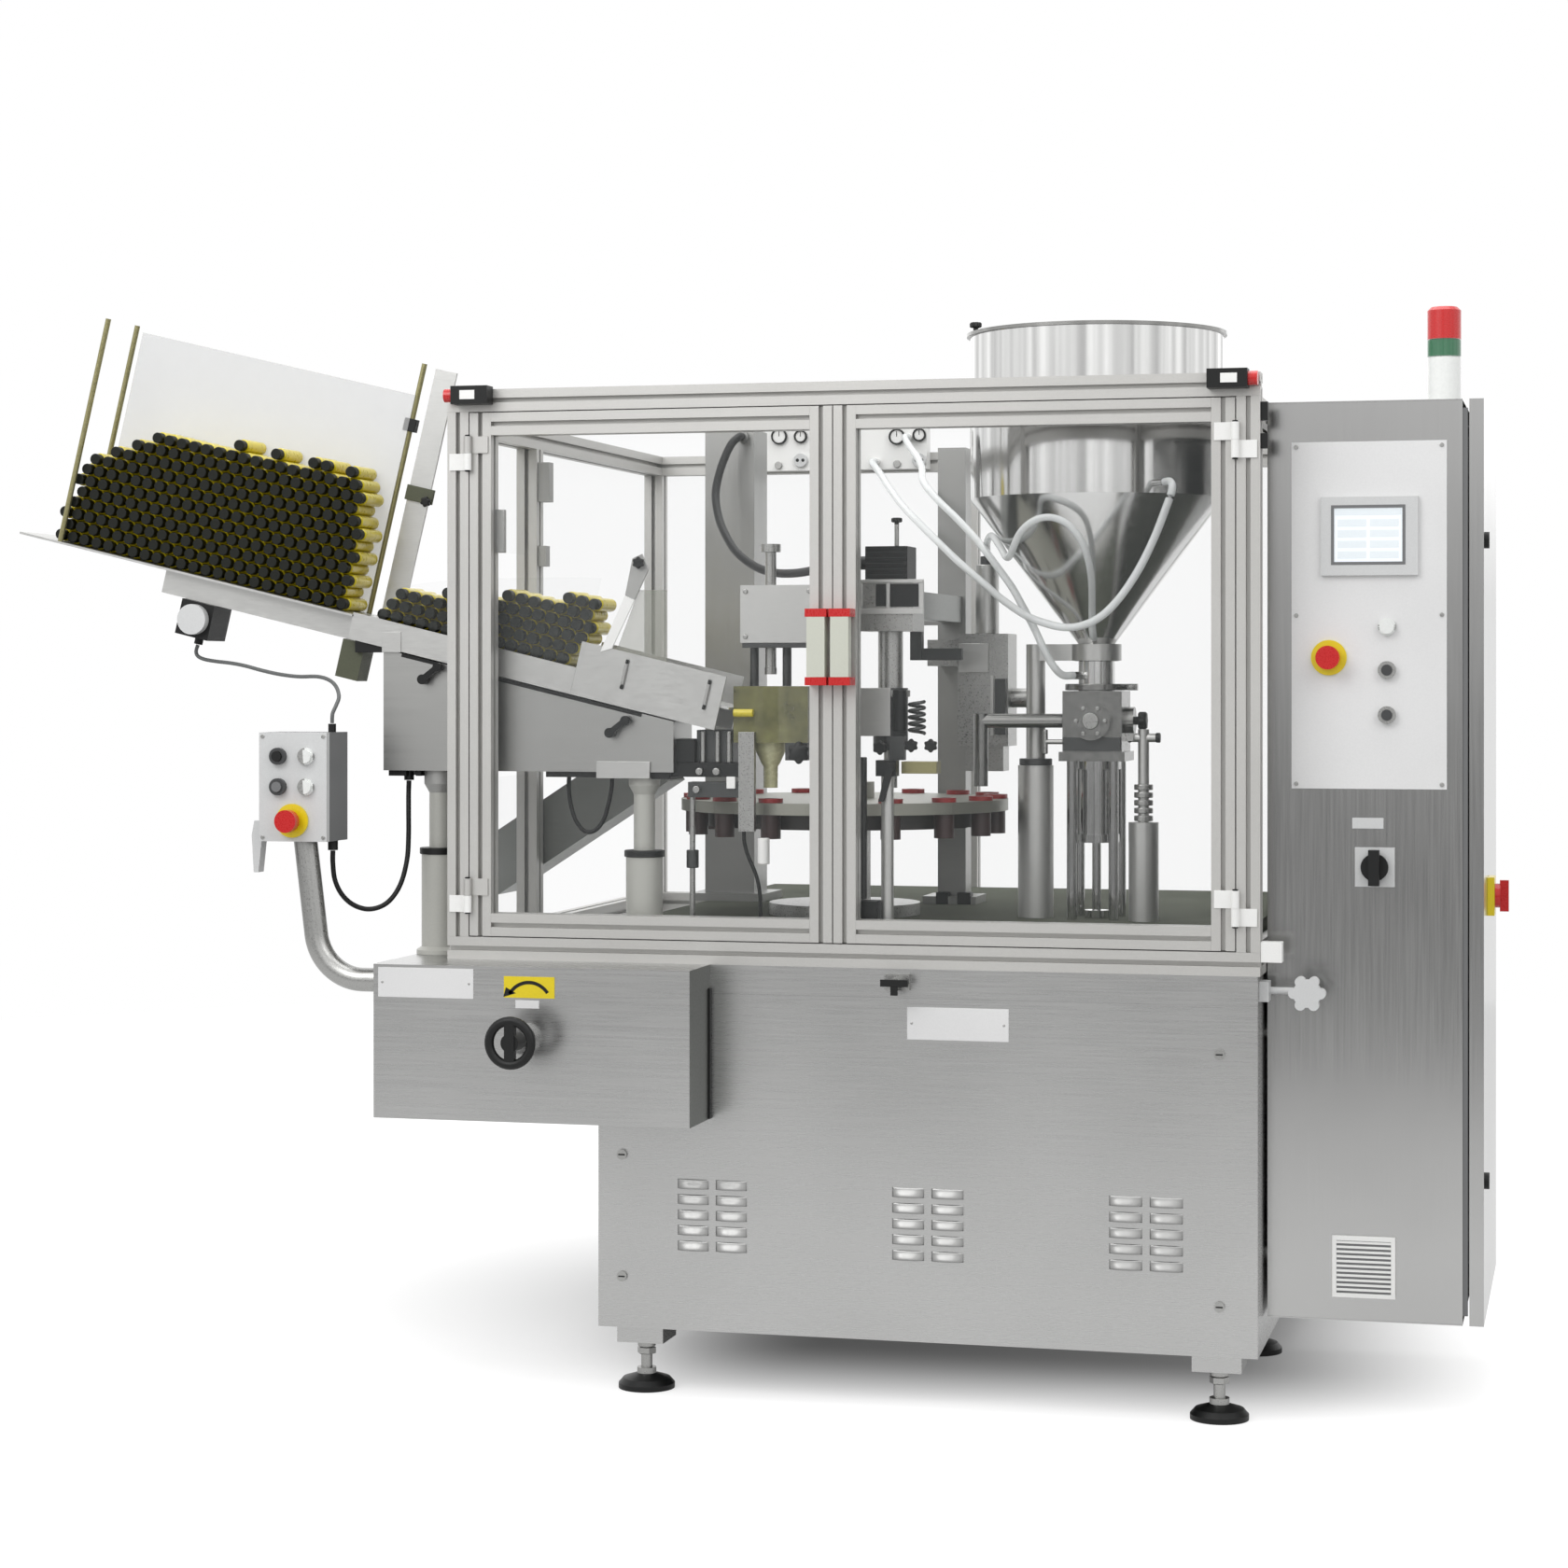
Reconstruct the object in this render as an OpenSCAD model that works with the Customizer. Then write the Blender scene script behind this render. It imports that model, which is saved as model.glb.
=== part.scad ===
// Tube filling machine: rotary turret on a cabinet base, with a guard of slotted profiles,
// a sloping tube magazine, a product hopper with a dosing pump, and a control cabinet.
// Places are worked out from the middle of the base front at floor level.

/* [Base] */
// Width of the base cabinet
base_w = 1156; // [1080:2:1240]
// Depth of the base cabinet and of the guard
base_d = 1265; // [1240:5:1400]
// Height of the base underside above the floor
base_clear = 116; // [100:1:150]
// Height of the base from its underside to the table apron
base_h = 591; // [560:1:680]
// Side of the square frame bars
bar = 40; // [30:1:45]
// Thickness of the sheet panels
sheet = 2; // [1.5:0.5:3]
// Width of one louvre slot
louvre_w = 50; // [40:1:56]
// Height of one louvre slot
louvre_h = 12; // [8:1:16]
// Height of the lowest louvre above the base underside
louvre_up = 141; // [100:1:200]

/* [Table] */
// Height of the apron under the table
apron_h = 50; // [40:1:70]
// Height of the table top above the apron
table_rise = 63; // [55:1:80]
// Thickness of the table plate
table_t = 20; // [14:1:26]

/* [Feet] */
// Diameter of a levelling pad
foot_pad_d = 100; // [70:1:120]
// Diameter of a levelling spindle
foot_spindle_d = 20; // [14:1:26]
// Distance from the base side to a foot
foot_inset = 71; // [55:1:100]
// Height of the foot brackets under the base
bracket_h = 30; // [20:1:40]

/* [Guard] */
// Reach of the guard past the left side of the base
guard_left = 282; // [240:1:320]
// Height of the guard
guard_h = 1014; // [960:1:1100]
// Side of the slotted profiles
profile = 40; // [36:1:45]
// Width of the profile slots
slot_w = 8; // [6:0.5:10]
// Depth of the profile slots
slot_d = 12; // [9:0.5:14]
// Thickness of the clear panes
pane_t = 5; // [3:0.5:5.5]
// Gap round a door
door_gap = 2; // [1.5:0.5:4]
// Place of the meeting line of the doors
door_split = -154; // [-220:1:-100]
// Length of a door handle
handle_l = 132; // [100:1:180]
// Diameter of a door hinge pin
hinge_pin_d = 8; // [6:0.5:9]

/* [Handwheel] */
// Width of the handwheel box
box_w = 575; // [540:1:640]
// Height of the handwheel box
box_h = 269; // [240:1:320]
// Reach of the handwheel box in front of the base
box_reach = 131; // [110:1:160]
// Reach of the handwheel box along the base side
box_back = 300; // [240:1:360]
// Width of the box in front of the base
box_overlap = 204; // [150:1:240]
// Diameter of the handwheel
wheel_d = 91; // [80:1:120]
// Diameter of the handwheel shaft
wheel_shaft_d = 20; // [16:1:24]
// Distance from the left end of the box to the handwheel
wheel_in = 278; // [240:1:310]
// Height of the handwheel below the box top
wheel_drop = 123; // [110:1:140]
// Radius of the chain sprockets
sprocket_r = 32; // [26:1:34]

/* [Pendant] */
// Width of the pendant
pendant_w = 128; // [110:1:150]
// Height of the pendant
pendant_h = 193; // [185:1:220]
// Depth of the pendant
pendant_d = 99; // [85:1:120]
// Height of the pendant underside above the floor
pendant_z = 968; // [930:1:1010]
// Diameter of the pendant pipe
pipe_d = 42; // [34:1:50]
// Bend radius of the pendant pipe
pipe_bend = 90; // [70:1:110]
// Lean of the pendant pipe away from the machine, in degrees
pipe_lean = 7; // [0:0.5:10]

/* [Cabinet] */
// Width of the control cabinet
cabinet_w = 326; // [300:1:380]
// Depth of the control cabinet
cabinet_d = 600; // [500:1:700]
// Height of the control cabinet
cabinet_h = 1558; // [1500:1:1640]
// Height of the cabinet underside above the floor
cabinet_z = 169; // [150:1:200]
// Distance from the guard front to the cabinet front
cabinet_y = 100; // [80:1:160]
// Gap between the base and the cabinet
cabinet_gap = 6; // [5:0.5:12]
// Gap between the cabinet and its door
seal_gap = 11; // [8:0.5:14]
// Thickness of the cabinet door
cabinet_door_t = 24; // [20:1:30]
// Width of the control panel
panel_w = 259; // [240:1:280]
// Height of the control panel
panel_h = 588; // [560:1:620]
// Height of the control panel above the cabinet underside
panel_up = 901; // [870:1:915]

/* [Controls] */
// Diameter of a push button
button_d = 18; // [14:1:22]
// Diameter of a button bezel
bezel_d = 30; // [28:1:34]
// Diameter of an emergency stop head
estop_d = 40; // [36:1:44]
// Diameter of an emergency stop collar
collar_d = 60; // [50:1:64]
// Diameter of a button stem
stem_d = 10; // [8:0.5:12]

/* [Turret] */
// Radius of the turret disc
turret_r = 303; // [302:1:312]
// Radius of the ring of tube holders
pitch_r = 280; // [274:1:281]
// Number of tube holders
stations = 16; // [16]
// Thickness of the turret disc
turret_t = 21; // [15:1:26]
// Height of the turret disc above the table
turret_rise = 194; // [180:1:200]
// Diameter of the turret shaft
turret_shaft_d = 60; // [45:1:70]
// Outer diameter of a tube holder
holder_d = 36; // [34:0.5:38]
// Height of a tube holder
holder_h = 72; // [60:1:80]
// Diameter of the camshaft
camshaft_d = 40; // [30:1:46]

/* [Filler] */
// Inside radius of the hopper
hopper_r = 228; // [205:1:235]
// Height of the straight part of the hopper
bowl_h = 301; // [250:1:340]
// Height of the hopper cone
cone_h = 264; // [240:1:300]
// Height of the hopper outlet
outlet_h = 85; // [80:1:100]
// Inside radius of the hopper outlet
outlet_r = 31; // [26:1:33]
// Wall of the hopper
hopper_wall = 2; // [1.5:0.5:3]
// Height of the valve plate above the table
dosing_h = 287; // [270:1:300]
// Length of the dosing barrel
barrel_l = 148; // [140:1:155]
// Bore of the dosing cylinder
dosing_bore = 60; // [50:1:66]
// Diameter of the piston rod
piston_rod_d = 16; // [12:1:20]
// Side of the dosing valve block
valve_w = 108; // [100:1:112]
// Height of the dosing valve block
valve_h = 110; // [100:1:125]

/* [Magazine] */
// Slope of the magazine floor, in degrees
slope = 13.37; // [12:0.1:14.5]
// Length of the magazine floor along the slope
tray_l = 640; // [620:1:660]
// Length of the chute floor along the slope
chute_l = 726; // [715:1:732]
// Diameter of a tube
tube_d = 25; // [22:0.5:25.5]
// Length of a tube with its cap
tube_l = 106; // [90:1:108]
// Thickness of the magazine and chute plates
plate = 4; // [3:0.5:6]
// Width of the magazine and chute between their sides
tray_w = 114; // [114:1:120]
// Height of the magazine rods
rod_h = 423; // [380:1:440]
// Height of the infeed end of the chute floor above the table
infeed_rise = 385.4; // [376:0.1:395]
// Distance from the guard front to the chute front
chute_y = 66; // [64:1:72]

/* [Hidden] */
$fn = 64;

// Hairline between pieces that are welded or screwed together
seam = 0.2;
// Running clearance of a shaft in its bore, on the radius
run = 0.05;
// Clearance of loose round neighbours
loose = 0.3;
// Overshoot of a cut
cut = 1;

// Heights
base_top = base_clear + base_h;
apron_top = base_top + apron_h;
table_z = apron_top + table_rise;
guard_top = apron_top + guard_h;
side_rail_z = guard_top - 2 * profile;

// Base frame
half_w = base_w / 2;
frame_x = half_w - sheet;
post_ys = [sheet + bar / 2, base_d / 2, base_d - sheet - bar / 2];
foot_ys = [60, base_d / 2, base_d - 60];
louvre_xs = [-370, 14, 390];
louvre_pitch = louvre_h + 15;

// Guard
guard_x0 = -half_w - guard_left;
guard_x1 = half_w + 4;
guard_mid_y = 400;
grip = slot_d - loose;
door_z0 = apron_top + profile + door_gap;
door_z1 = guard_top - profile - door_gap;
left_hinge_x = guard_x0 + profile + door_gap / 2;
right_hinge_x = guard_x1 - profile - door_gap / 2;
knuckle_d = hinge_pin_d + 6;
hinge_y = -knuckle_d / 2 - 1;
hinge_h = 60;
hinge_zs = [door_z0 + 42, door_z1 - 42 - hinge_h];
handle_z = door_z0 + 446;

// Handwheel box
box_x1 = -half_w + box_overlap;
box_x0 = box_x1 - box_w;
box_top = apron_top;
box_z = box_top - box_h;
wheel_x = box_x0 + wheel_in;
wheel_z = box_top - wheel_drop;
wheel_out = 84;

// Drive under the table
turret_x = -228;
turret_y = 410;
cam_z = table_z - 260;
chain_y = 58;
chain_w = 10;
table_under = table_z - table_t;

// Pendant
pipe_y = -60;
pipe_z = box_top - 35;
pipe_run = 47;
pipe_bend_x = box_x0 - pipe_run;
lean_x = pipe_bend_x - pipe_bend * cos(pipe_lean);
lean_z = pipe_z + pipe_bend * (1 - sin(pipe_lean));
lean_l = (pendant_z - lean_z) / cos(pipe_lean);
pendant_x = lean_x - lean_l * sin(pipe_lean) - 4;
pendant_y = pipe_y - pendant_d / 2;
cover_t = 14;

// Cabinet
cabinet_x = half_w + cabinet_gap;
cabinet_x1 = cabinet_x + cabinet_w;
cabinet_top = cabinet_z + cabinet_h;
cabinet_back = cabinet_y + cabinet_d;
cabinet_door_x = cabinet_x1 + seal_gap;
cabinet_door_x1 = cabinet_door_x + cabinet_door_t;
cabinet_hinge_x = cabinet_door_x + cabinet_door_t / 2 - 1;
cabinet_hinge_y = cabinet_back + 8;
cabinet_hinge_zs = [cabinet_z + 180, cabinet_top - 240];
panel_x = cabinet_x + 41;
panel_z = cabinet_z + panel_up;
panel_y = cabinet_y - sheet;
isolator_y = cabinet_y + 200;
isolator_z = cabinet_z + 711;
isolator_plate_t = 12;
isolator_out = 23;

// Control places on the pendant cover: x and z
pendant_cols = [pendant_x - 26, pendant_x + 26];
pendant_rows = [pendant_z + 151, pendant_z + 97];
pendant_stop_z = pendant_z + 37;

// Control places on the cabinet front: x and z
panel_buttons_x = panel_x + 160;
panel_lamp_z = panel_z + 274;
panel_start_z = panel_z + 201;
panel_reset_z = panel_z + 125;
panel_estop_x = panel_x + 63;
panel_estop_z = panel_z + 222;
switch_x = panel_x + 140;
switch_z = panel_z - 132;
estop_stem_d = 16;

// Turret
disc_z = table_z + turret_rise;
disc_top = disc_z + turret_t;
holder_top = disc_top + 8;
pocket_d = tube_d + 1;
skirt_h = 28;
pedestal_d = turret_shaft_d + 36;
station_step = 360 / stations;
first_station = 255;
function station_xy(i) =
    let (a = first_station + i * station_step)
        [turret_x + pitch_r * cos(a), turret_y + pitch_r * sin(a)];
infeed_xy = station_xy(0);
orient_xy = station_xy(2);
fill_xy = station_xy(4);
crimp_xy = station_xy(6);
drive_half = 150;
pedestal_top = disc_z - 29;

// Station columns
column_y = 750;
left_column_w = 100;
right_column_w = 55;
left_column_x = -528;
right_column_x = -88;
left_column_top = table_z + 925;
right_column_top = table_z + 884;
beam_z = table_z + 540;
beam_h = 60;
beam_t = 50;
arm_w = 40;
arm_z0 = beam_z + 5;
arm_z1 = beam_z + beam_h - 5;
arm_y1 = column_y - beam_t / 2 - seam;

// Insertion head
head_z0 = table_z + 500;
head_z1 = head_z0 + 102;
head_left = 45;
head_right = 90;
head_y0 = infeed_xy[1] - 42;
head_y1 = infeed_xy[1] + 46;
guide_z0 = table_z + 323;
guide_z1 = table_z + 423;
guide_w = 112;
guide_right = 80;
pusher_d = 20;

// Filler
filler_x = 243;
filler_y = 410;
flange_t = 15;
valve_plate_t = 17;
valve_z = table_z + dosing_h + valve_plate_t;
outlet_z = valve_z + valve_h;
cone_z = outlet_z + outlet_h;
bowl_z = cone_z + cone_h;
hopper_top = bowl_z + bowl_h;
barrel_r = dosing_bore / 2 + 8;
barrel_z = table_z + dosing_h - barrel_l;
filler_leg_d = 18;
filler_leg_x = barrel_r;
filler_leg_y = barrel_r + 9;
hose_d = 14;
bowl_port_angle = -53;
bowl_port_z = bowl_z + 18;
outlet_port_angle = 228;
outlet_port_z = outlet_z + 28;
port_l = 20;

// Magazine and chute, along a line that falls to the right
exit_gap = 1.3;
infeed_x = infeed_xy[0] - guide_w / 2 - exit_gap;
infeed_z = table_z + infeed_rise;
line_l = tray_l + chute_l;
tray_x = infeed_x - line_l * cos(slope);
tray_z = infeed_z + line_l * sin(slope);
tray_lip = 40;
tray_back = chute_y + tray_w;
tube_y = chute_y + (tray_w - tube_l) / 2;
rail_drop = 45;
function line_z(x) = tray_z - (x - tray_x) * tan(slope);
housing_x0 = tray_x + 680;
housing_x1 = housing_x0 + 547;
housing_z = table_z + 270;
function housing_top(x) = line_z(x) - (rail_drop + 3) / cos(slope);
leg_y = 102;
leg_tube_d = 38;
leg_sleeve_d = 66;
house_gland_x = housing_x0 + 38;
left_leg_x = max(box_x0 + 37, house_gland_x + 57);
right_leg_x = -524;
lever_out = 20;
lever_places = [[housing_x0 + 81, housing_z + 165], [housing_x0 + 434, housing_z + 70]];
load_points = [[10, 0], [40, 160], [158, 235], [266, 262], [612, 268], [632, 0]];
chute_load_points = [[668, 0], [676, 62], [1108, 150], [1072, 0]];

// Discharge chute
discharge_slope = 33;
discharge_l = 402;
discharge_w = 120;
discharge_y = guard_mid_y + profile / 2 + 5;
discharge_x = -575;
discharge_z = disc_z + 48;

// Air supply
manifold_y = base_d - profile - 36;
manifold_z = guard_top - 76;
manifold_xs = [-634, -384];
hose_ports = [[-340, manifold_z + 15], [-270, manifold_z + 65]];

// Extent of the object and the shift that puts the origin under its middle
extent_x0 = tray_x - tray_lip * cos(slope) - plate * sin(slope);
extent_x1 = cabinet_door_x1 + isolator_plate_t + isolator_out;
extent_y0 = -box_reach - wheel_out;
origin_shift = [-(extent_x0 + extent_x1) / 2, -(extent_y0 + base_d) / 2, 0];

// Routes of the cables and hoses
pendant_cable_d = 9;
pendant_cable_route = [
    [-1064, -35, 949], [-1064, -35, 926], [-1062, -30, 896], [-1053, -20, 870],
    [-1038, -5, 851], [-1017, 10, 842], [-996, 25, 846], [-980, 40, 861],
    [-968, 55, 889], [-962, 68, 930], [-963, 78, 972], [-966, 86, 1014],
    [-969, 94, 1048], [-969, 96, 1071]];
motor_cable_d = 7;
motor_cable_route = [
    [-1396, 122, 1319], [-1399, 121, 1307], [-1394, 118, 1298], [-1378, 112, 1292],
    [-1350, 103, 1288], [-1318, 92, 1285], [-1282, 75, 1280], [-1240, 60, 1271],
    [-1199, 45, 1264], [-1157, 30, 1260], [-1114, 14, 1260], [-1085, -2, 1254],
    [-1064, -20, 1242], [-1052, -36, 1224], [-1052, -50, 1208], [-1056, -56, 1194],
    [-1057, -56, 1177]];
head_hose_d = 16;
head_hose_route = [
    [-500, 684, 1730], [-501, 668, 1728], [-512, 646, 1710], [-525, 622, 1664],
    [-528, 596, 1614], [-512, 560, 1566], [-486, 520, 1528], [-453, 480, 1494],
    [-404, 430, 1466], [-355, 380, 1453], [-307, 330, 1450], [-265, 280, 1452],
    [-230, 230, 1456], [-200, 186, 1461], [-174, 168, 1462], [-150, 168, 1462]];
hopper_hose_route = [
    [-340, 1168, 1710], [-340, 1140, 1706], [-304, 1060, 1676], [-260, 960, 1636],
    [-209, 840, 1597], [-152, 720, 1558], [-94, 620, 1517], [-37, 530, 1476],
    [20, 450, 1438], [78, 370, 1399], [135, 290, 1369], [177, 240, 1355],
    [216, 210, 1347], [251, 195, 1350], [286, 185, 1366], [320, 180, 1399],
    [353, 176, 1447], [380, 173, 1500],
    [400, 171, 1550], [411, 177, 1585], [406, 193, 1600], [394, 209, 1601]];
valve_hose_route = [
    [-270, 1168, 1760], [-270, 1138, 1756], [-240, 1050, 1730], [-205, 950, 1704],
    [-172, 840, 1674], [-148, 740, 1640], [-105, 660, 1602], [-50, 590, 1558],
    [0, 530, 1514], [45, 470, 1468], [85, 420, 1424], [115, 375, 1384],
    [138, 352, 1348], [158, 338, 1310], [175, 337, 1280], [190, 351, 1263],
    [207, 370, 1262]];

// A box between two corners
module block(low, high) {
    translate(low) cube(high - low);
}

// A rod along X, Y or Z
module rod_x(x0, x1, y, z, d) {
    translate([x0, y, z]) rotate([0, 90, 0]) cylinder(h = x1 - x0, d = d);
}
module rod_y(y0, y1, x, z, d) {
    translate([x, y1, z]) rotate([90, 0, 0]) cylinder(h = y1 - y0, d = d);
}
module rod_z(z0, z1, x, y, d) {
    translate([x, y, z0]) cylinder(h = z1 - z0, d = d);
}

// Cross-section of a slotted profile, about its middle
function turned(p, a) = [p[0] * cos(a) - p[1] * sin(a), p[0] * sin(a) + p[1] * cos(a)];
profile_side = [[-profile / 2, -profile / 2], [-slot_w / 2, -profile / 2],
                [-slot_w / 2, slot_d - profile / 2], [slot_w / 2, slot_d - profile / 2],
                [slot_w / 2, -profile / 2]];
module profile_section() {
    polygon([for (a = [0, 90, 180, 270]) for (p = profile_side) turned(p, a)]);
}

// Slotted profiles along each axis: low corner of the section, then the two ends
module profile_x(x0, x1, y, z) {
    translate([x0, y + profile / 2, z + profile / 2])
        rotate([90, 0, 90]) linear_extrude(x1 - x0) profile_section();
}
module profile_y(y0, y1, x, z) {
    translate([x + profile / 2, y1, z + profile / 2])
        rotate([90, 0, 0]) linear_extrude(y1 - y0) profile_section();
}
module profile_z(z0, z1, x, y) {
    translate([x + profile / 2, y + profile / 2, z0]) linear_extrude(z1 - z0) profile_section();
}

// Places a shape on the falling line: x along the line, z square to it
module on_line() {
    translate([tray_x, 0, tray_z]) rotate([0, slope, 0]) children();
}

// A prism with a side outline in x and z, from one y to another
module prism(outline, y0, y1) {
    translate([0, y1, 0]) rotate([90, 0, 0]) linear_extrude(y1 - y0) polygon(outline);
}

// Tube swept along a route
function unit(v) = v / norm(v);
function heading(p, i) = unit(p[min(i + 1, len(p) - 1)] - p[max(i - 1, 0)]);
function square_to(n, t) = unit(n - (n * t) * t);
function normals(p) = [
    for (i = 0, n = square_to([0.3, 1, 0.2], heading(p, 0)); i < len(p);
         i = i + 1, n = square_to(n, heading(p, min(i, len(p) - 1)))) n];
module cord(route, d, sides) {
    last = len(route) - 1;
    ns = normals(route);
    rings = [for (i = [0:last])
                let (t = heading(route, i), n = square_to(ns[i], t), b = cross(t, n))
                    for (j = [0:sides - 1])
                        route[i] + d / 2 * (cos(360 * j / sides) * n + sin(360 * j / sides) * b)];
    walls = [for (i = [0:last - 1]) for (j = [0:sides - 1])
                let (k = (j + 1) % sides)
                    [i * sides + j, (i + 1) * sides + j, (i + 1) * sides + k, i * sides + k]];
    start = [for (j = [0:sides - 1]) j];
    end = [for (j = [0:sides - 1]) last * sides + sides - 1 - j];
    polyhedron(points = rings, faces = concat([start], walls, [end]));
}

// Base

module base_frame() {
    color("silver") {
        for (z = [base_clear, base_top - bar], y = post_ys)
            block([-frame_x, y - bar / 2, z], [frame_x, y + bar / 2, z + bar]);
        for (z = [base_clear, base_top - bar], s = [-1, 1], i = [0, 1])
            let (x = s * (frame_x - bar / 2))
                block([x - bar / 2, post_ys[i] + bar / 2 + seam, z],
                      [x + bar / 2, post_ys[i + 1] - bar / 2 - seam, z + bar]);
        for (s = [-1, 1], y = post_ys)
            let (x = s * (frame_x - bar / 2))
                block([x - bar / 2, y - bar / 2, base_clear + bar + seam],
                      [x + bar / 2, y + bar / 2, base_top - bar - seam]);
        for (s = [-1, 1], y = foot_ys)
            let (x = s * (half_w - foot_inset))
                block([x - 42, y - 42, base_clear - bracket_h], [x + 42, y + 42, base_clear - seam]);
    }
}

module louvre_slots() {
    for (x = louvre_xs, c = [-1, 1], r = [0:4])
        let (z = base_clear + louvre_up + r * louvre_pitch, xc = x + c * (louvre_w + 19) / 2)
            block([xc - louvre_w / 2, -cut, z], [xc + louvre_w / 2, sheet + cut, z + louvre_h]);
}

module base_panels() {
    inner = sheet + seam;
    color("lightgray") {
        difference() {
            block([-half_w, 0, base_clear], [half_w, sheet, base_top - seam]);
            louvre_slots();
        }
        difference() {
            block([-half_w, inner, base_clear], [-frame_x - seam, base_d - inner, base_top - seam]);
            block([-half_w - cut, chain_y - 8, wheel_z - 70], [-frame_x + cut, chain_y + 18, wheel_z + 30]);
        }
        block([frame_x + seam, inner, base_clear], [half_w, base_d - inner, base_top - seam]);
        block([-half_w, base_d - sheet, base_clear], [half_w, base_d, base_top - seam]);
    }
}

module panel_locks() {
    places = [[-half_w + 44, 304], [-half_w + 44, 90], [half_w - 64, 509], [half_w - 64, 85]];
    latch_x = door_split + 116;
    color("dimgray") {
        for (p = places)
            rod_y(-5, -seam, p[0], base_clear + p[1], 18);
        block([latch_x - 22, -12, apron_top - 36], [latch_x + 22, -seam, apron_top - 8]);
        rod_y(-30, -12, latch_x, apron_top - 22, 18);
    }
}

module levelling_feet() {
    pad_r = foot_pad_d / 2;
    spindle_r = foot_spindle_d / 2;
    top = base_clear - bracket_h;
    outline = [[0, 0], [pad_r, 0], [pad_r, 9], [pad_r - 8, 18], [spindle_r + 7, 26],
               [spindle_r + 7, 36], [spindle_r, 36], [spindle_r, top - 12],
               [spindle_r + 6, top - 12], [spindle_r + 6, top], [0, top]];
    color("black")
        for (s = [-1, 1], y = foot_ys)
            translate([s * (half_w - foot_inset), y, 0]) rotate_extrude() polygon(outline);
}

module table_top() {
    slab_x0 = -half_w + 8;
    slab_x1 = guard_x1 - profile - 4;
    slab_y0 = profile + 4;
    slab_y1 = base_d - profile - 4;
    rim = 20;
    color("gainsboro") difference() {
        union() {
            block([-half_w, 0, base_top], [half_w, base_d, apron_top]);
            block([slab_x0, slab_y0, apron_top - cut], [slab_x1, slab_y1, table_z]);
        }
        block([slab_x0 + rim, slab_y0 + rim, base_top - cut], [slab_x1 - rim, slab_y1 - rim, table_under]);
        rod_z(table_under - cut, table_z + cut, turret_x, turret_y, turret_shaft_d + 16);
        rod_z(table_under - cut, table_z + cut, filler_x, filler_y, piston_rod_d + 8);
    }
}

// Guard

module guard_profiles() {
    z0 = apron_top;
    z1 = guard_top - profile;
    post_z0 = z0 + profile + seam;
    back = base_d - profile;
    right = guard_x1 - profile;
    color("lightgray") {
        for (z = [z0, z1])
            profile_x(guard_x0, guard_x1, 0, z);
        for (z = [z0, side_rail_z])
            profile_x(guard_x0, guard_x1, back, z);
        for (z = [z0, side_rail_z], x = [guard_x0, right])
            profile_y(profile + seam, back - seam, x, z);
        for (x = [guard_x0, right]) {
            profile_z(post_z0, z1 - seam, x, 0);
            profile_z(post_z0, side_rail_z - seam, x, back);
        }
        profile_z(post_z0, side_rail_z - seam, guard_x0, guard_mid_y - profile / 2);
        profile_z(post_z0, side_rail_z - seam, door_split - profile / 2, back);
    }
}

// Clear panes, with their edges in the slots of the profiles and their corners cut
module pane_yz(x, y0, y1, z0, z1) {
    block([x - pane_t / 2, y0 - grip, z0 + slot_d], [x + pane_t / 2, y1 + grip, z1 - slot_d]);
    block([x - pane_t / 2, y0, z0], [x + pane_t / 2, y1, z1]);
}
module pane_xz(y, x0, x1, z0, z1) {
    block([x0 - grip, y - pane_t / 2, z0 + slot_d], [x1 + grip, y + pane_t / 2, z1 - slot_d]);
    block([x0, y - pane_t / 2, z0], [x1, y + pane_t / 2, z1]);
}

module clear_panes() {
    low = apron_top + profile - grip;
    high = side_rail_z + grip;
    back = base_d - profile;
    mid = guard_mid_y - profile / 2;
    left_x = guard_x0 + profile / 2;
    back_y = base_d - profile / 2;
    chute_low = housing_z - 15;
    chute_high = line_z(guard_x0) + 165;
    discharge_high = disc_z + 70;
    color("lightcyan", 0.3) {
        pane_yz(left_x, profile, mid, low, chute_low);
        pane_yz(left_x, profile, mid, chute_high, high);
        pane_yz(left_x, mid + profile, back, discharge_high, high);
        pane_yz(guard_x1 - profile / 2, profile, back, low, high);
        pane_xz(back_y, guard_x0 + profile, door_split - profile / 2, low, high);
        pane_xz(back_y, door_split + profile / 2, guard_x1 - profile, low, high);
        on_line() block([60, tray_back - 2.5, seam], [tray_l - 20, tray_back + 0.5, rod_h - 10]);
    }
}

// Half of a door hinge: leaf on one side of the pin, between two heights
module hinge_half(x, side, z0, z1) {
    leaf_t = 3;
    reach = side * (profile - 4);
    rod_z(z0, z1, x, hinge_y, knuckle_d);
    block([min(x, x + reach), -leaf_t - seam, z0], [max(x, x + reach), -seam, z1]);
}

module door_hinges() {
    color("whitesmoke")
        for (z = hinge_zs, h = [[left_hinge_x, -1], [right_hinge_x, 1]]) {
            hinge_half(h[0], h[1], z, z + hinge_h / 2 - seam);
            rod_z(z, z + hinge_h, h[0], hinge_y, hinge_pin_d);
        }
}

module interlock_switches() {
    z = guard_top - 12;
    for (e = [[guard_x0 + 18, 1], [guard_x1 - 18, -1]])
        color("black") {
            block([min(e[0], e[0] + e[1] * 68), -34, z - 16], [max(e[0], e[0] + e[1] * 68), -seam, z + 16]);
            rod_x(min(e[0] - e[1] * 16, e[0] - e[1] * seam), max(e[0] - e[1] * 16, e[0] - e[1] * seam),
                  -17, z, 24);
        }
}

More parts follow.
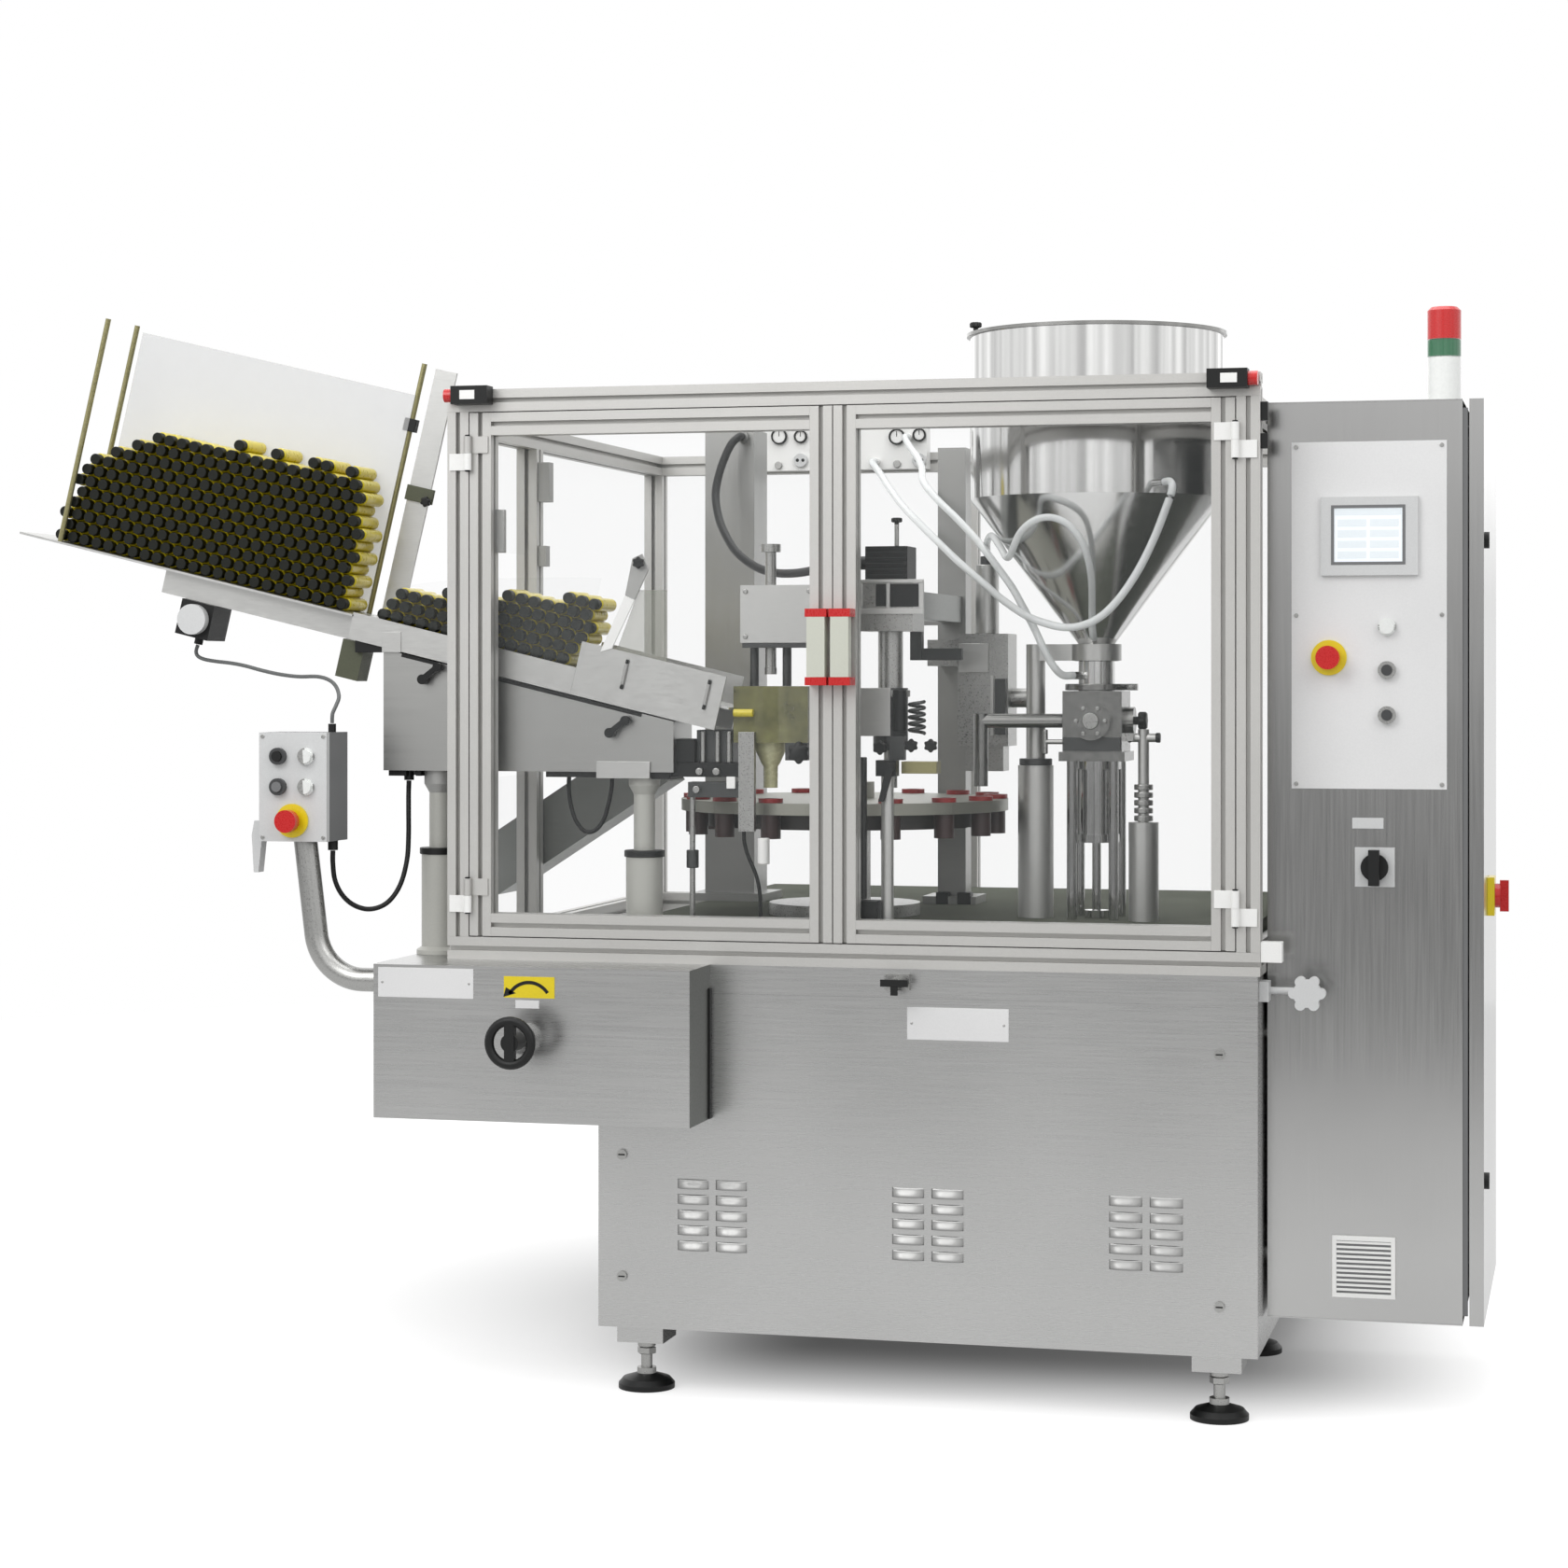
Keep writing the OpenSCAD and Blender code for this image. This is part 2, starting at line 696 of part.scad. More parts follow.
// Door frame between two edges, with the hinge leaves on the given side and the handle on the other
module door_frame(x0, x1, hinge_x, side) {
    color("silver") {
        profile_z(door_z0, door_z1, x0, 0);
        profile_z(door_z0, door_z1, x1 - profile, 0);
        profile_x(x0 + profile + seam, x1 - profile - seam, 0, door_z0);
        profile_x(x0 + profile + seam, x1 - profile - seam, 0, door_z1 - profile);
    }
    color("whitesmoke") for (z = hinge_zs) difference() {
        hinge_half(hinge_x, side, z + hinge_h / 2 + seam, z + hinge_h);
        rod_z(z, z + hinge_h + cut, hinge_x, hinge_y, hinge_pin_d + 2 * run);
    }
    handle_x = side > 0 ? x1 - profile / 2 : x0 + profile / 2;
    color("red") for (z = [handle_z, handle_z + handle_l - 14])
        block([handle_x - 19, -40, z], [handle_x + 19, -seam, z + 14]);
    color("honeydew")
        block([handle_x - 16, -40, handle_z + 14 + seam],
              [handle_x + 16, -18, handle_z + handle_l - 14 - seam]);
}

module door_pane(x0, x1) {
    color("lightcyan", 0.3)
        pane_xz(profile / 2, x0 + profile, x1 - profile, door_z0 + profile - grip, door_z1 - profile + grip);
}

left_door_x0 = guard_x0 + profile + door_gap;
left_door_x1 = door_split - door_gap / 2;
right_door_x0 = door_split + door_gap / 2;
right_door_x1 = guard_x1 - profile - door_gap;

module left_door_frame() {
    door_frame(left_door_x0, left_door_x1, left_hinge_x, 1);
}
module left_door_pane() {
    door_pane(left_door_x0, left_door_x1);
}
module right_door_frame() {
    door_frame(right_door_x0, right_door_x1, right_hinge_x, -1);
}
module right_door_pane() {
    door_pane(right_door_x0, right_door_x1);
}

// Handwheel and pendant

module handwheel_box() {
    outer = [[box_x0, -box_reach], [box_x1, -box_reach], [box_x1, -seam], [-half_w - seam, -seam],
             [-half_w - seam, box_back], [box_x0, box_back]];
    inner = [[box_x0 + sheet, sheet - box_reach], [box_x1 - sheet, sheet - box_reach],
             [box_x1 - sheet, -sheet], [-half_w + cut, -sheet], [-half_w + cut, box_back - sheet],
             [box_x0 + sheet, box_back - sheet]];
    bearing_y = 20;
    color("lightgray") difference() {
        union() {
            difference() {
                translate([0, 0, box_z]) linear_extrude(box_h) polygon(outer);
                translate([0, 0, box_z + sheet]) linear_extrude(box_h - 2 * sheet) polygon(inner);
            }
            rod_y(-box_reach - 16, sheet - box_reach, wheel_x, wheel_z, 52);
            block([wheel_x - 30, bearing_y, box_z + cut], [wheel_x + 30, bearing_y + 20, wheel_z + 30]);
        }
        rod_y(-box_reach - 17, bearing_y + 21, wheel_x, wheel_z, wheel_shaft_d + 2 * run);
    }
}

module handwheel() {
    rim_d = 16;
    front = -box_reach - wheel_out;
    color("black") {
        rod_y(front + 6, chain_y + chain_w + 8, wheel_x, wheel_z, wheel_shaft_d);
        rod_y(front + 4, front + 44, wheel_x, wheel_z, 32);
        rod_y(chain_y, chain_y + chain_w, wheel_x, wheel_z, 2 * sprocket_r);
        translate([wheel_x, front + rim_d / 2, wheel_z]) rotate([90, 0, 0])
            rotate_extrude() translate([wheel_d / 2 - rim_d / 2, 0]) circle(d = rim_d);
        block([wheel_x - 9, front + 2, wheel_z - wheel_d / 2 + 6],
              [wheel_x + 9, front + 14, wheel_z + wheel_d / 2 - 6]);
    }
}

module pendant_arm() {
    color("silver") {
        block([box_x0 - 6, pipe_y - 38, pipe_z - 34], [box_x0 - seam, pipe_y + 38, pipe_z + 34]);
        rod_x(pipe_bend_x, box_x0 - 3, pipe_y, pipe_z, pipe_d);
        translate([pipe_bend_x, pipe_y, pipe_z + pipe_bend]) rotate([90, 0, 0]) rotate(180 + pipe_lean)
            rotate_extrude(angle = 90 - pipe_lean) translate([pipe_bend, 0]) circle(d = pipe_d);
        difference() {
            translate([lean_x, pipe_y, lean_z])
                rotate([0, -pipe_lean, 0]) cylinder(h = lean_l + 20, d = pipe_d);
            block([lean_x - 200, pipe_y - 50, pendant_z - seam], [lean_x + 50, pipe_y + 50, pendant_z + 60]);
        }
    }
}

// Holes for the stems of a pair of push buttons and an emergency stop
module stem_hole(x, y, z, d) {
    rod_y(y - cut, y + 20, x, z, d + 2 * run);
}

module pendant_box() {
    x0 = pendant_x - pendant_w / 2;
    x1 = pendant_x + pendant_w / 2;
    split_y = pendant_y + cover_t;
    wall = 4;
    color("gainsboro") difference() {
        block([x0, pendant_y, pendant_z], [x1, split_y - seam, pendant_z + pendant_h]);
        for (z = pendant_rows)
            stem_hole(pendant_cols[0], pendant_y, z, stem_d);
        stem_hole(pendant_x, pendant_y, pendant_stop_z, estop_stem_d);
    }
    color("dimgray") difference() {
        block([x0, split_y, pendant_z], [x1, pendant_y + pendant_d, pendant_z + pendant_h]);
        block([x0 + wall, split_y - cut, pendant_z + wall],
              [x1 - wall, pendant_y + pendant_d - wall, pendant_z + pendant_h - wall]);
    }
}

// A bezel ring, a lamp, an emergency stop collar and a cable gland, each against a front face
module bezel(x, y, z) {
    difference() {
        rod_y(y - 10, y - seam, x, z, bezel_d);
        rod_y(y - 11, y + cut, x, z, button_d + 2 * loose);
    }
}
module lamp(x, y, z) {
    rod_y(y - 6, y - seam, x, z, bezel_d);
    rod_y(y - 12, y - 6, x, z, bezel_d - 6);
}
module collar(x, y, z) {
    difference() {
        rod_y(y - 5, y - seam, x, z, collar_d);
        rod_y(y - 6, y + cut, x, z, estop_stem_d + 2 * run);
    }
}

module control_fittings() {
    gland_x = pendant_x + 46;
    color("lightgray") {
        for (z = pendant_rows) {
            bezel(pendant_cols[0], pendant_y, z);
            lamp(pendant_cols[1], pendant_y, z);
        }
        for (z = [panel_start_z, panel_reset_z])
            bezel(panel_buttons_x, panel_y, z);
        lamp(panel_buttons_x, panel_y, panel_lamp_z);
        difference() {
            block([switch_x - 33, cabinet_y - 10, switch_z - 33],
                  [switch_x + 33, cabinet_y - seam, switch_z + 33]);
            rod_y(cabinet_y - 11, cabinet_y + cut, switch_x, switch_z, stem_d + 2 * run);
        }
        block([switch_x - 38, cabinet_y - 3, switch_z + 65],
              [switch_x + 14, cabinet_y - seam, switch_z + 83]);
        rod_z(pendant_z - 18, pendant_z - seam, gland_x, -35, 18);
        rod_z(pendant_z + pendant_h + seam, pendant_z + pendant_h + 15, gland_x + 7, -56, 14);
        rod_z(housing_z - 18, housing_z - seam, house_gland_x, 96, 18);
    }
    color("yellow") {
        collar(pendant_x, pendant_y, pendant_stop_z);
        collar(panel_estop_x, panel_y, panel_estop_z);
    }
}

// Push button and emergency stop, each with its stem in a front face
module push_button(x, y, z) {
    rod_y(y - 14, y - 7, x, z, button_d);
    rod_y(y - 7, y + 12, x, z, stem_d);
}
module estop(x, y, z) {
    rod_y(y - 36, y - 18, x, z, estop_d);
    rod_y(y - 18, y - 12, x, z, estop_d - 14);
    rod_y(y - 12, y + 12, x, z, estop_stem_d);
}

module pendant_start_button() {
    color("black") push_button(pendant_cols[0], pendant_y, pendant_rows[0]);
}
module pendant_stop_button() {
    color("black") push_button(pendant_cols[0], pendant_y, pendant_rows[1]);
}
module pendant_estop() {
    color("red") estop(pendant_x, pendant_y, pendant_stop_z);
}
module panel_start_button() {
    color("black") push_button(panel_buttons_x, panel_y, panel_start_z);
}
module panel_reset_button() {
    color("black") push_button(panel_buttons_x, panel_y, panel_reset_z);
}
module panel_estop() {
    color("red") estop(panel_estop_x, panel_y, panel_estop_z);
}

// Control cabinet

module panel_holes(y) {
    for (z = [panel_start_z, panel_reset_z])
        stem_hole(panel_buttons_x, y, z, stem_d);
    stem_hole(panel_estop_x, y, panel_estop_z, estop_stem_d);
}

module cabinet_body() {
    inner_x = cabinet_x + sheet;
    inner_y = cabinet_y + sheet;
    z0 = cabinet_z + sheet + seam;
    z1 = cabinet_top - sheet - seam;
    grille_x = cabinet_x + 110;
    color("silver") {
        difference() {
            block([cabinet_x, cabinet_y, z0], [cabinet_x1, inner_y, z1]);
            panel_holes(cabinet_y);
            stem_hole(switch_x, cabinet_y, switch_z, estop_stem_d);
        }
        block([cabinet_x, inner_y + seam, z0], [inner_x, cabinet_back - sheet - seam, z1]);
        block([cabinet_x, cabinet_back - sheet, z0], [cabinet_x1, cabinet_back, z1]);
        for (z = [cabinet_z, cabinet_top - sheet])
            block([cabinet_x, cabinet_y, z], [cabinet_x1, cabinet_back, z + sheet]);
        for (y = [180, 560], z = [base_clear + 150, base_top - 60])
            rod_x(half_w, cabinet_x - seam, y, z, 30);
        for (z = cabinet_hinge_zs) {
            block([cabinet_x1 - 40, cabinet_back + seam, z - 12],
                  [cabinet_hinge_x, cabinet_hinge_y + 7, z]);
            rod_z(z - 12, z, cabinet_hinge_x, cabinet_hinge_y, 14);
            rod_z(z - 12, z + 40, cabinet_hinge_x, cabinet_hinge_y, hinge_pin_d);
        }
    }
    color("whitesmoke")
        block([grille_x, cabinet_y - 8, cabinet_z + 41],
              [grille_x + 105, cabinet_y - seam, cabinet_z + 144]);
}

module cabinet_door() {
    skin = 2;
    latch_y = cabinet_y + 30;
    color("silver") {
        difference() {
            union() {
                difference() {
                    block([cabinet_door_x, cabinet_y, cabinet_z],
                          [cabinet_door_x1, cabinet_back, cabinet_top]);
                    block([cabinet_door_x - cut, cabinet_y + 20, cabinet_z + 20],
                          [cabinet_door_x1 - skin, cabinet_back - 20, cabinet_top - 20]);
                }
                for (z = cabinet_hinge_zs) {
                    block([cabinet_hinge_x - 7, cabinet_back - cut, z + seam],
                          [cabinet_hinge_x + 7, cabinet_hinge_y, z + 40]);
                    rod_z(z + seam, z + 40, cabinet_hinge_x, cabinet_hinge_y, 14);
                }
            }
            for (z = cabinet_hinge_zs)
                rod_z(z - cut, z + 42, cabinet_hinge_x, cabinet_hinge_y, hinge_pin_d + 2 * run);
            rod_x(cabinet_door_x1 - skin - cut, cabinet_door_x1 + cut,
                  isolator_y, isolator_z, stem_d + 2 * run);
        }
        for (z = [cabinet_top - 237, cabinet_z + 241])
            rod_x(cabinet_door_x1 + seam, cabinet_door_x1 + 8, latch_y, z, 28);
    }
    color("yellow") difference() {
        block([cabinet_door_x1 + seam, isolator_y - 33, isolator_z - 33],
              [cabinet_door_x1 + isolator_plate_t - loose, isolator_y + 33, isolator_z + 33]);
        rod_x(cabinet_door_x1, cabinet_door_x1 + isolator_plate_t + cut,
              isolator_y, isolator_z, stem_d + 2 * run);
    }
}

module isolator_knob() {
    face = cabinet_door_x1 + isolator_plate_t;
    color("red") {
        rod_x(cabinet_door_x1 - 8, face + cut, isolator_y, isolator_z, stem_d);
        rod_x(face, face + 9, isolator_y, isolator_z, 42);
        block([face + 8, isolator_y - 8, isolator_z - 27],
              [face + isolator_out, isolator_y + 8, isolator_z + 27]);
    }
}

module mode_switch_knob() {
    face = cabinet_y - 10 - loose;
    color("black") {
        rod_y(face - cut, cabinet_y - 2, switch_x, switch_z, stem_d);
        rod_y(face - 10, face, switch_x, switch_z, 46);
        block([switch_x - 9, face - 30, switch_z - 30], [switch_x + 9, face - 9, switch_z + 30]);
    }
}

module electrical_plate() {
    x0 = cabinet_x + sheet + 20;
    y0 = cabinet_y + 60;
    y1 = cabinet_back - 60;
    z0 = cabinet_z + 90;
    z1 = cabinet_top - 90;
    color("gold") {
        block([x0, y0, z0], [x0 + 3, y1, z1]);
        for (y = [y0 + 25, y1 - 25], z = [z0 + 40, z1 - 40])
            rod_x(cabinet_x + sheet + seam, x0 - seam, y, z, 16);
    }
    color("dimgray") {
        for (i = [0:2])
            block([x0 + 3 + seam, y0 + 30 + i * 145, z0 + 880], [x0 + 150, y0 + 150 + i * 145, z0 + 1180]);
        for (i = [0:6])
            block([x0 + 3 + seam, y0 + 40 + i * 58, z0 + 560], [x0 + 90, y0 + 88 + i * 58, z0 + 660]);
        for (z = [z0 + 60, z0 + 450, z0 + 760])
            block([x0 + 3 + seam, y0 + 10, z], [x0 + 63, y1 - 10, z + 60]);
    }
}

module control_panel() {
    color("whitesmoke") difference() {
        block([panel_x, panel_y, panel_z], [panel_x + panel_w, cabinet_y - seam, panel_z + panel_h]);
        panel_holes(panel_y);
    }
}

module hmi() {
    x = panel_x + 50;
    z = panel_z + 361;
    color("silver") difference() {
        block([x, panel_y - 8, z], [x + 162, panel_y - seam, z + 133]);
        block([x + 22, panel_y - 9, z + 23], [x + 136, panel_y - 6, z + 114]);
    }
    color("aliceblue") block([x + 22 + seam, panel_y - 6 - 2 * seam, z + 23 + seam],
                             [x + 136 - seam, panel_y - 6 - seam, z + 114 - seam]);
}

module stack_light() {
    x = cabinet_x1 - 40;
    r = 29;
    outline = [[0, 0], [r + 4, 0], [r + 4, 6], [r, 8], [r, 88], [r - 2, 88], [r - 2, 90], [r, 90],
               [r, 118], [r - 2, 118], [r - 2, 120], [r, 120], [r, 170], [r - 6, 176], [0, 176]];
    color("gainsboro") translate([x, cabinet_y + 200, cabinet_top + seam]) rotate_extrude() polygon(outline);
}

// Turret and drive

// Ring segment between two neighbouring holders, kept clear of their middle lines by side
module between_holders(i, r0, r1, z0, z1, side) {
    a = station_step / 2;
    near = 0.8 * r0 * [cos(a), sin(a)] + side * [sin(a), -cos(a)];
    far = 1.2 * r1 * [cos(a), sin(a)] + side * [sin(a), -cos(a)];
    translate([turret_x, turret_y, z0]) rotate(first_station + (i + 0.5) * station_step) intersection() {
        difference() {
            cylinder(h = z1 - z0, r = r1);
            translate([0, 0, -cut]) cylinder(h = z1 - z0 + 2 * cut, r = r0);
        }
        linear_extrude(z1 - z0)
            polygon([[near[0], -near[1]], [far[0], -far[1]], far, near]);
    }
}

// Middle disc on its shaft, plates between the holders, a band round them and a skirt below
module turret_disc() {
    core_r = pitch_r - holder_d / 2 - loose;
    band_r = pitch_r + holder_d / 2 + loose;
    skirt_r = core_r - 3;
    color("silver") {
        rod_z(disc_z, disc_top, turret_x, turret_y, 2 * core_r);
        rod_z(pedestal_top + loose, disc_z + cut, turret_x, turret_y, pedestal_d);
        rod_z(cam_z + 60, disc_z + cut, turret_x, turret_y, turret_shaft_d);
        rod_z(disc_top - cut, disc_top + 30, turret_x, turret_y, 110);
        for (i = [0:stations - 1]) {
            between_holders(i, core_r + seam, band_r - seam, disc_z, disc_top, holder_d / 2 + loose);
            between_holders(i, band_r, turret_r, disc_z, disc_top, seam / 2);
            between_holders(i, skirt_r - 12, skirt_r, disc_z - skirt_h, disc_z - seam, seam / 2);
        }
    }
}

module tube_holders() {
    rim_d = holder_d + 8;
    floor_t = 5;
    color("firebrick") for (i = [0:stations - 1])
        translate([station_xy(i)[0], station_xy(i)[1], 0]) difference() {
            union() {
                rod_z(holder_top - holder_h, disc_top + cut, 0, 0, holder_d);
                rod_z(disc_top + seam, holder_top, 0, 0, rim_d);
            }
            rod_z(holder_top - holder_h + floor_t, holder_top + cut, 0, 0, pocket_d);
        }
}

module turret_pedestal() {
    color("gray") difference() {
        union() {
            rod_z(table_z + seam, table_z + 22, turret_x, turret_y, 280);
            rod_z(table_z + 20, pedestal_top, turret_x, turret_y, pedestal_d);
        }
        rod_z(table_z - cut, pedestal_top + cut, turret_x, turret_y, turret_shaft_d + 2 * run);
    }
}

module index_drive() {
    box_low = cam_z - 80;
    motor_y0 = 900;
    motor_y1 = motor_y0 + 120;
    color("slategray") {
        difference() {
            block([turret_x - drive_half, turret_y - drive_half, box_low],
                  [turret_x + drive_half, turret_y + drive_half, table_under - seam]);
            rod_z(cam_z + 50, table_under + cut, turret_x, turret_y, turret_shaft_d + 2 * run);
            rod_y(turret_y - drive_half - cut, turret_y + drive_half + cut,
                  turret_x, cam_z, camshaft_d + 2 * run);
        }
        difference() {
            block([turret_x - 70, motor_y0, box_low], [turret_x + 70, motor_y1, table_under - seam]);
            rod_y(motor_y0 - cut, motor_y1 + cut, turret_x, cam_z, camshaft_d + 2 * run);
        }
        rod_x(turret_x + 70 + seam, turret_x + 330, motor_y0 + 60, cam_z, 140);
    }
}

module camshaft() {
    color("darkgray") {
        rod_y(chain_y - 12, 1040, turret_x, cam_z, camshaft_d);
        rod_y(chain_y, chain_y + chain_w, turret_x, cam_z, 2 * sprocket_r);
        for (i = [0:2])
            rod_y(620 + i * 80, 645 + i * 80, turret_x + 24 * cos(120 * i), cam_z + 24 * sin(120 * i), 120);
    }
}

// Chain round two equal sprockets: an oval with straight runs
module oval(r, l) {
    circle(r);
    translate([l, 0]) circle(r);
    translate([0, -r]) square([l, 2 * r]);
}
module drive_chain() {
    span = [turret_x - wheel_x, cam_z - wheel_z];
    inner_r = sprocket_r + loose;
    color("dimgray") translate([wheel_x, chain_y + chain_w, wheel_z]) rotate([90, 0, 0])
        rotate(atan2(span[1], span[0])) linear_extrude(chain_w) difference() {
            oval(inner_r + 5, norm(span));
            oval(inner_r, norm(span));
        }
}

// Stations

module station_columns() {
    left = left_column_x + left_column_w / 2;
    right = right_column_x - right_column_w / 2;
    color("lightgray") {
        for (c = [[left_column_x, left_column_w, left_column_top],
                  [right_column_x, right_column_w, right_column_top]]) {
            block([c[0] - c[1] / 2, column_y - c[1] / 2, table_z + 15 + seam],
                  [c[0] + c[1] / 2, column_y + c[1] / 2, c[2]]);
            block([c[0] - c[1] / 2 - 25, column_y - c[1] / 2 - 25, table_z + seam],
                  [c[0] + c[1] / 2 + 25, column_y + c[1] / 2 + 25, table_z + 15]);
        }
        block([left + seam, column_y - beam_t / 2, beam_z],
              [right - seam, column_y + beam_t / 2, beam_z + beam_h]);
        rod_y(column_y - left_column_w / 2 - 15, column_y - left_column_w / 2 - seam,
              left_column_x + 28, left_column_top - 15, 24);
    }
}

module insertion_head() {
    x = infeed_xy[0];
    y = infeed_xy[1];
    color("lightgray") {
        difference() {
            block([x - head_left, head_y0, head_z0], [x + head_right, head_y1, head_z1]);
            rod_z(head_z0 - cut, head_z1 + cut, x, y, pusher_d + 2 * run);
        }
        block([x - arm_w / 2, head_y1 + seam, arm_z0], [x + arm_w / 2, arm_y1, arm_z1]);
        for (s = [-1, 1])
            rod_z(guide_z1 + seam, head_z0 - seam, x + s * 30, y, 16);
    }
    color("khaki", 0.6) difference() {
        block([x - guide_w / 2, y - 48, guide_z0], [x + guide_right, y + 48, guide_z1]);
        rod_z(guide_z0 - cut, guide_z1 + cut, x, y, pocket_d + 2);
    }
}

module insertion_pusher() {
    x = infeed_xy[0];
    y = infeed_xy[1];
    tip_z = head_z0 - 44;
    color("dimgray") {
        rod_z(tip_z, head_z1 + 60, x, y, pusher_d);
        rod_z(tip_z - 12, tip_z, x, y, 22);
        rod_z(head_z1 + 60, head_z1 + 74, x, y, 36);
    }
}

module station_heads() {
    ox = orient_xy[0];
    oy = orient_xy[1];
    cx = crimp_xy[0];
    cy = crimp_xy[1];
    post_x = -74;
    post_y = 78;
    color("gray") {
        block([ox - 50, oy - 46, beam_z - 20], [ox + 50, oy + 52, beam_z + 70]);
        block([ox - 38, oy - 36, beam_z + 70 + seam], [ox + 38, oy + 40, beam_z + 130]);
        rod_x(ox - 60, ox - 38 - seam, oy, beam_z + 102, 24);
        rod_z(table_z + 420, beam_z - 20 - seam, ox, oy, 44);
        rod_z(table_z + 310, table_z + 420 - seam, ox, oy, 62);
        rod_z(holder_top + 20, table_z + 310 - seam, ox, oy, 24);
        block([ox - arm_w / 2, oy + 52 + seam, arm_z0],
              [ox + arm_w / 2, column_y - right_column_w / 2 - seam, arm_z1]);
        block([cx - 48, cy - 46, table_z + 310], [cx + 48, cy + 46, table_z + 520]);
        block([cx - 36, cy - 30, holder_top + 40], [cx - 6, cy + 30, table_z + 310 - seam]);
        block([cx + 6, cy - 30, holder_top + 40], [cx + 36, cy + 30, table_z + 310 - seam]);
        rod_x(cx + 48 + seam, cx + 100, cy, table_z + 400, 36);
        block([right_column_x - 22, cy + 46 + seam, table_z + 460],
              [cx + 10, cy + 90, table_z + 510]);
        block([right_column_x - 22, cy + 90 + seam, table_z + 460],
              [right_column_x + 22, column_y - right_column_w / 2 - seam, table_z + 510]);
        rod_z(table_z + seam, table_z + 266, post_x, post_y, 22);
        block([post_x - 18, post_y - 14, table_z + 266 + seam], [post_x + 18, post_y + 14, table_z + 294]);
    }
}

// Filler

module hopper() {
    wall = hopper_wall;
    r = hopper_r + wall;
    lip = 6;
    outline = [[outlet_r, outlet_z], [outlet_r + wall, outlet_z], [outlet_r + wall, cone_z], [r, bowl_z],
               [r, hopper_top - lip], [r + lip, hopper_top - lip], [r + lip, hopper_top],
               [hopper_r, hopper_top], [hopper_r, bowl_z], [outlet_r, cone_z]];
    color("silver") translate([filler_x, filler_y, 0]) {
        rotate_extrude($fn = 96) polygon(outline);
        rotate(bowl_port_angle) rod_x(r - 0.5, r + port_l, 0, bowl_port_z, hose_d);
        rotate(outlet_port_angle)
            rod_x(outlet_r + wall - 0.5, outlet_r + wall + port_l, 0, outlet_port_z, hose_d);
    }
}

module dosing_valve() {
    half = valve_w / 2;
    plate_half = half + 6;
    spout_z = valve_z + 56;
    spout_y = filler_y - half + 20;
    start = [filler_x - half, spout_y];
    span = fill_xy - start;
    color("silver") {
        block([filler_x - plate_half, filler_y - plate_half, valve_z - valve_plate_t],
              [filler_x + plate_half, filler_y + plate_half, valve_z - seam]);
        block([filler_x - half, filler_y - half, valve_z],
              [filler_x + half, filler_y + half, outlet_z - seam]);
        rod_y(filler_y + half + seam, filler_y + half + 90, filler_x, valve_z + 56, 60);
        rod_y(filler_y - half - 18, filler_y - half - seam, filler_x, valve_z + 56, 70);
        rod_x(filler_x + half + seam, filler_x + half + 16, filler_y, valve_z + 56, 50);
        translate([start[0], start[1], spout_z]) rotate(atan2(span[1], span[0]))
            rod_x(2, norm(span), 0, 0, 26);
        rod_z(holder_top + 18, spout_z + 13, fill_xy[0], fill_xy[1], 26);
    }
}

module dosing_cylinder() {
    top = table_z + dosing_h - seam;
    gland_d = 44;
    color("lightgray") {
        difference() {
            union() {
                rod_z(barrel_z, barrel_z + flange_t, filler_x, filler_y, 2 * barrel_r + 8);
                rod_z(barrel_z + flange_t - cut, top, filler_x, filler_y, 2 * barrel_r);
                rod_z(top - flange_t, top, filler_x, filler_y, 2 * barrel_r + 14);
            }
            rod_z(barrel_z + flange_t, top + cut, filler_x, filler_y, dosing_bore);
            rod_z(barrel_z - cut, barrel_z + flange_t + cut, filler_x, filler_y, piston_rod_d + 2 * run);
        }
        for (x = [-1, 1], y = [-1, 1])
            translate([x * filler_leg_x, y * filler_leg_y, 0])
                rod_z(table_z + seam, top, filler_x, filler_y, filler_leg_d);
        difference() {
            rod_z(table_z + seam, table_z + flange_t, filler_x, filler_y, gland_d);
            rod_z(table_z - cut, table_z + flange_t + cut, filler_x, filler_y, piston_rod_d + 2 * run);
        }
    }
}

module dosing_piston() {
    low = barrel_z + flange_t + 4;
    color("silver") {
        rod_z(low, low + 26, filler_x, filler_y, dosing_bore - 2 * run);
        rod_z(table_z - 180, low + cut, filler_x, filler_y, piston_rod_d);
    }
}

module filler_columns() {
    left_x = 131;
    right_x = 336;
    right_y = 360;
    ring_r = outlet_r + hopper_wall + loose;
    arm_low = cone_z - 30;
    color("lightgray") {
        difference() {
            union() {
                rod_z(table_z + seam, table_z + 278, left_x, filler_y, 65);
                rod_z(table_z + 277, cone_z, left_x, filler_y, 35);
                block([left_x, filler_y - 15, arm_low], [filler_x, filler_y + 15, cone_z]);
                rod_z(arm_low, cone_z, filler_x, filler_y, 2 * ring_r + 24);
            }
            rod_z(arm_low - cut, cone_z + cut, filler_x, filler_y, 2 * ring_r);
        }
        rod_z(table_z + seam, table_z + 178, right_x, right_y, 54);
        rod_z(table_z + 177, table_z + 345, right_x, right_y, 20);
        rod_x(right_x - 22, right_x + 22, right_y, table_z + 330, 16);
    }
}

// Magazine, chute and load

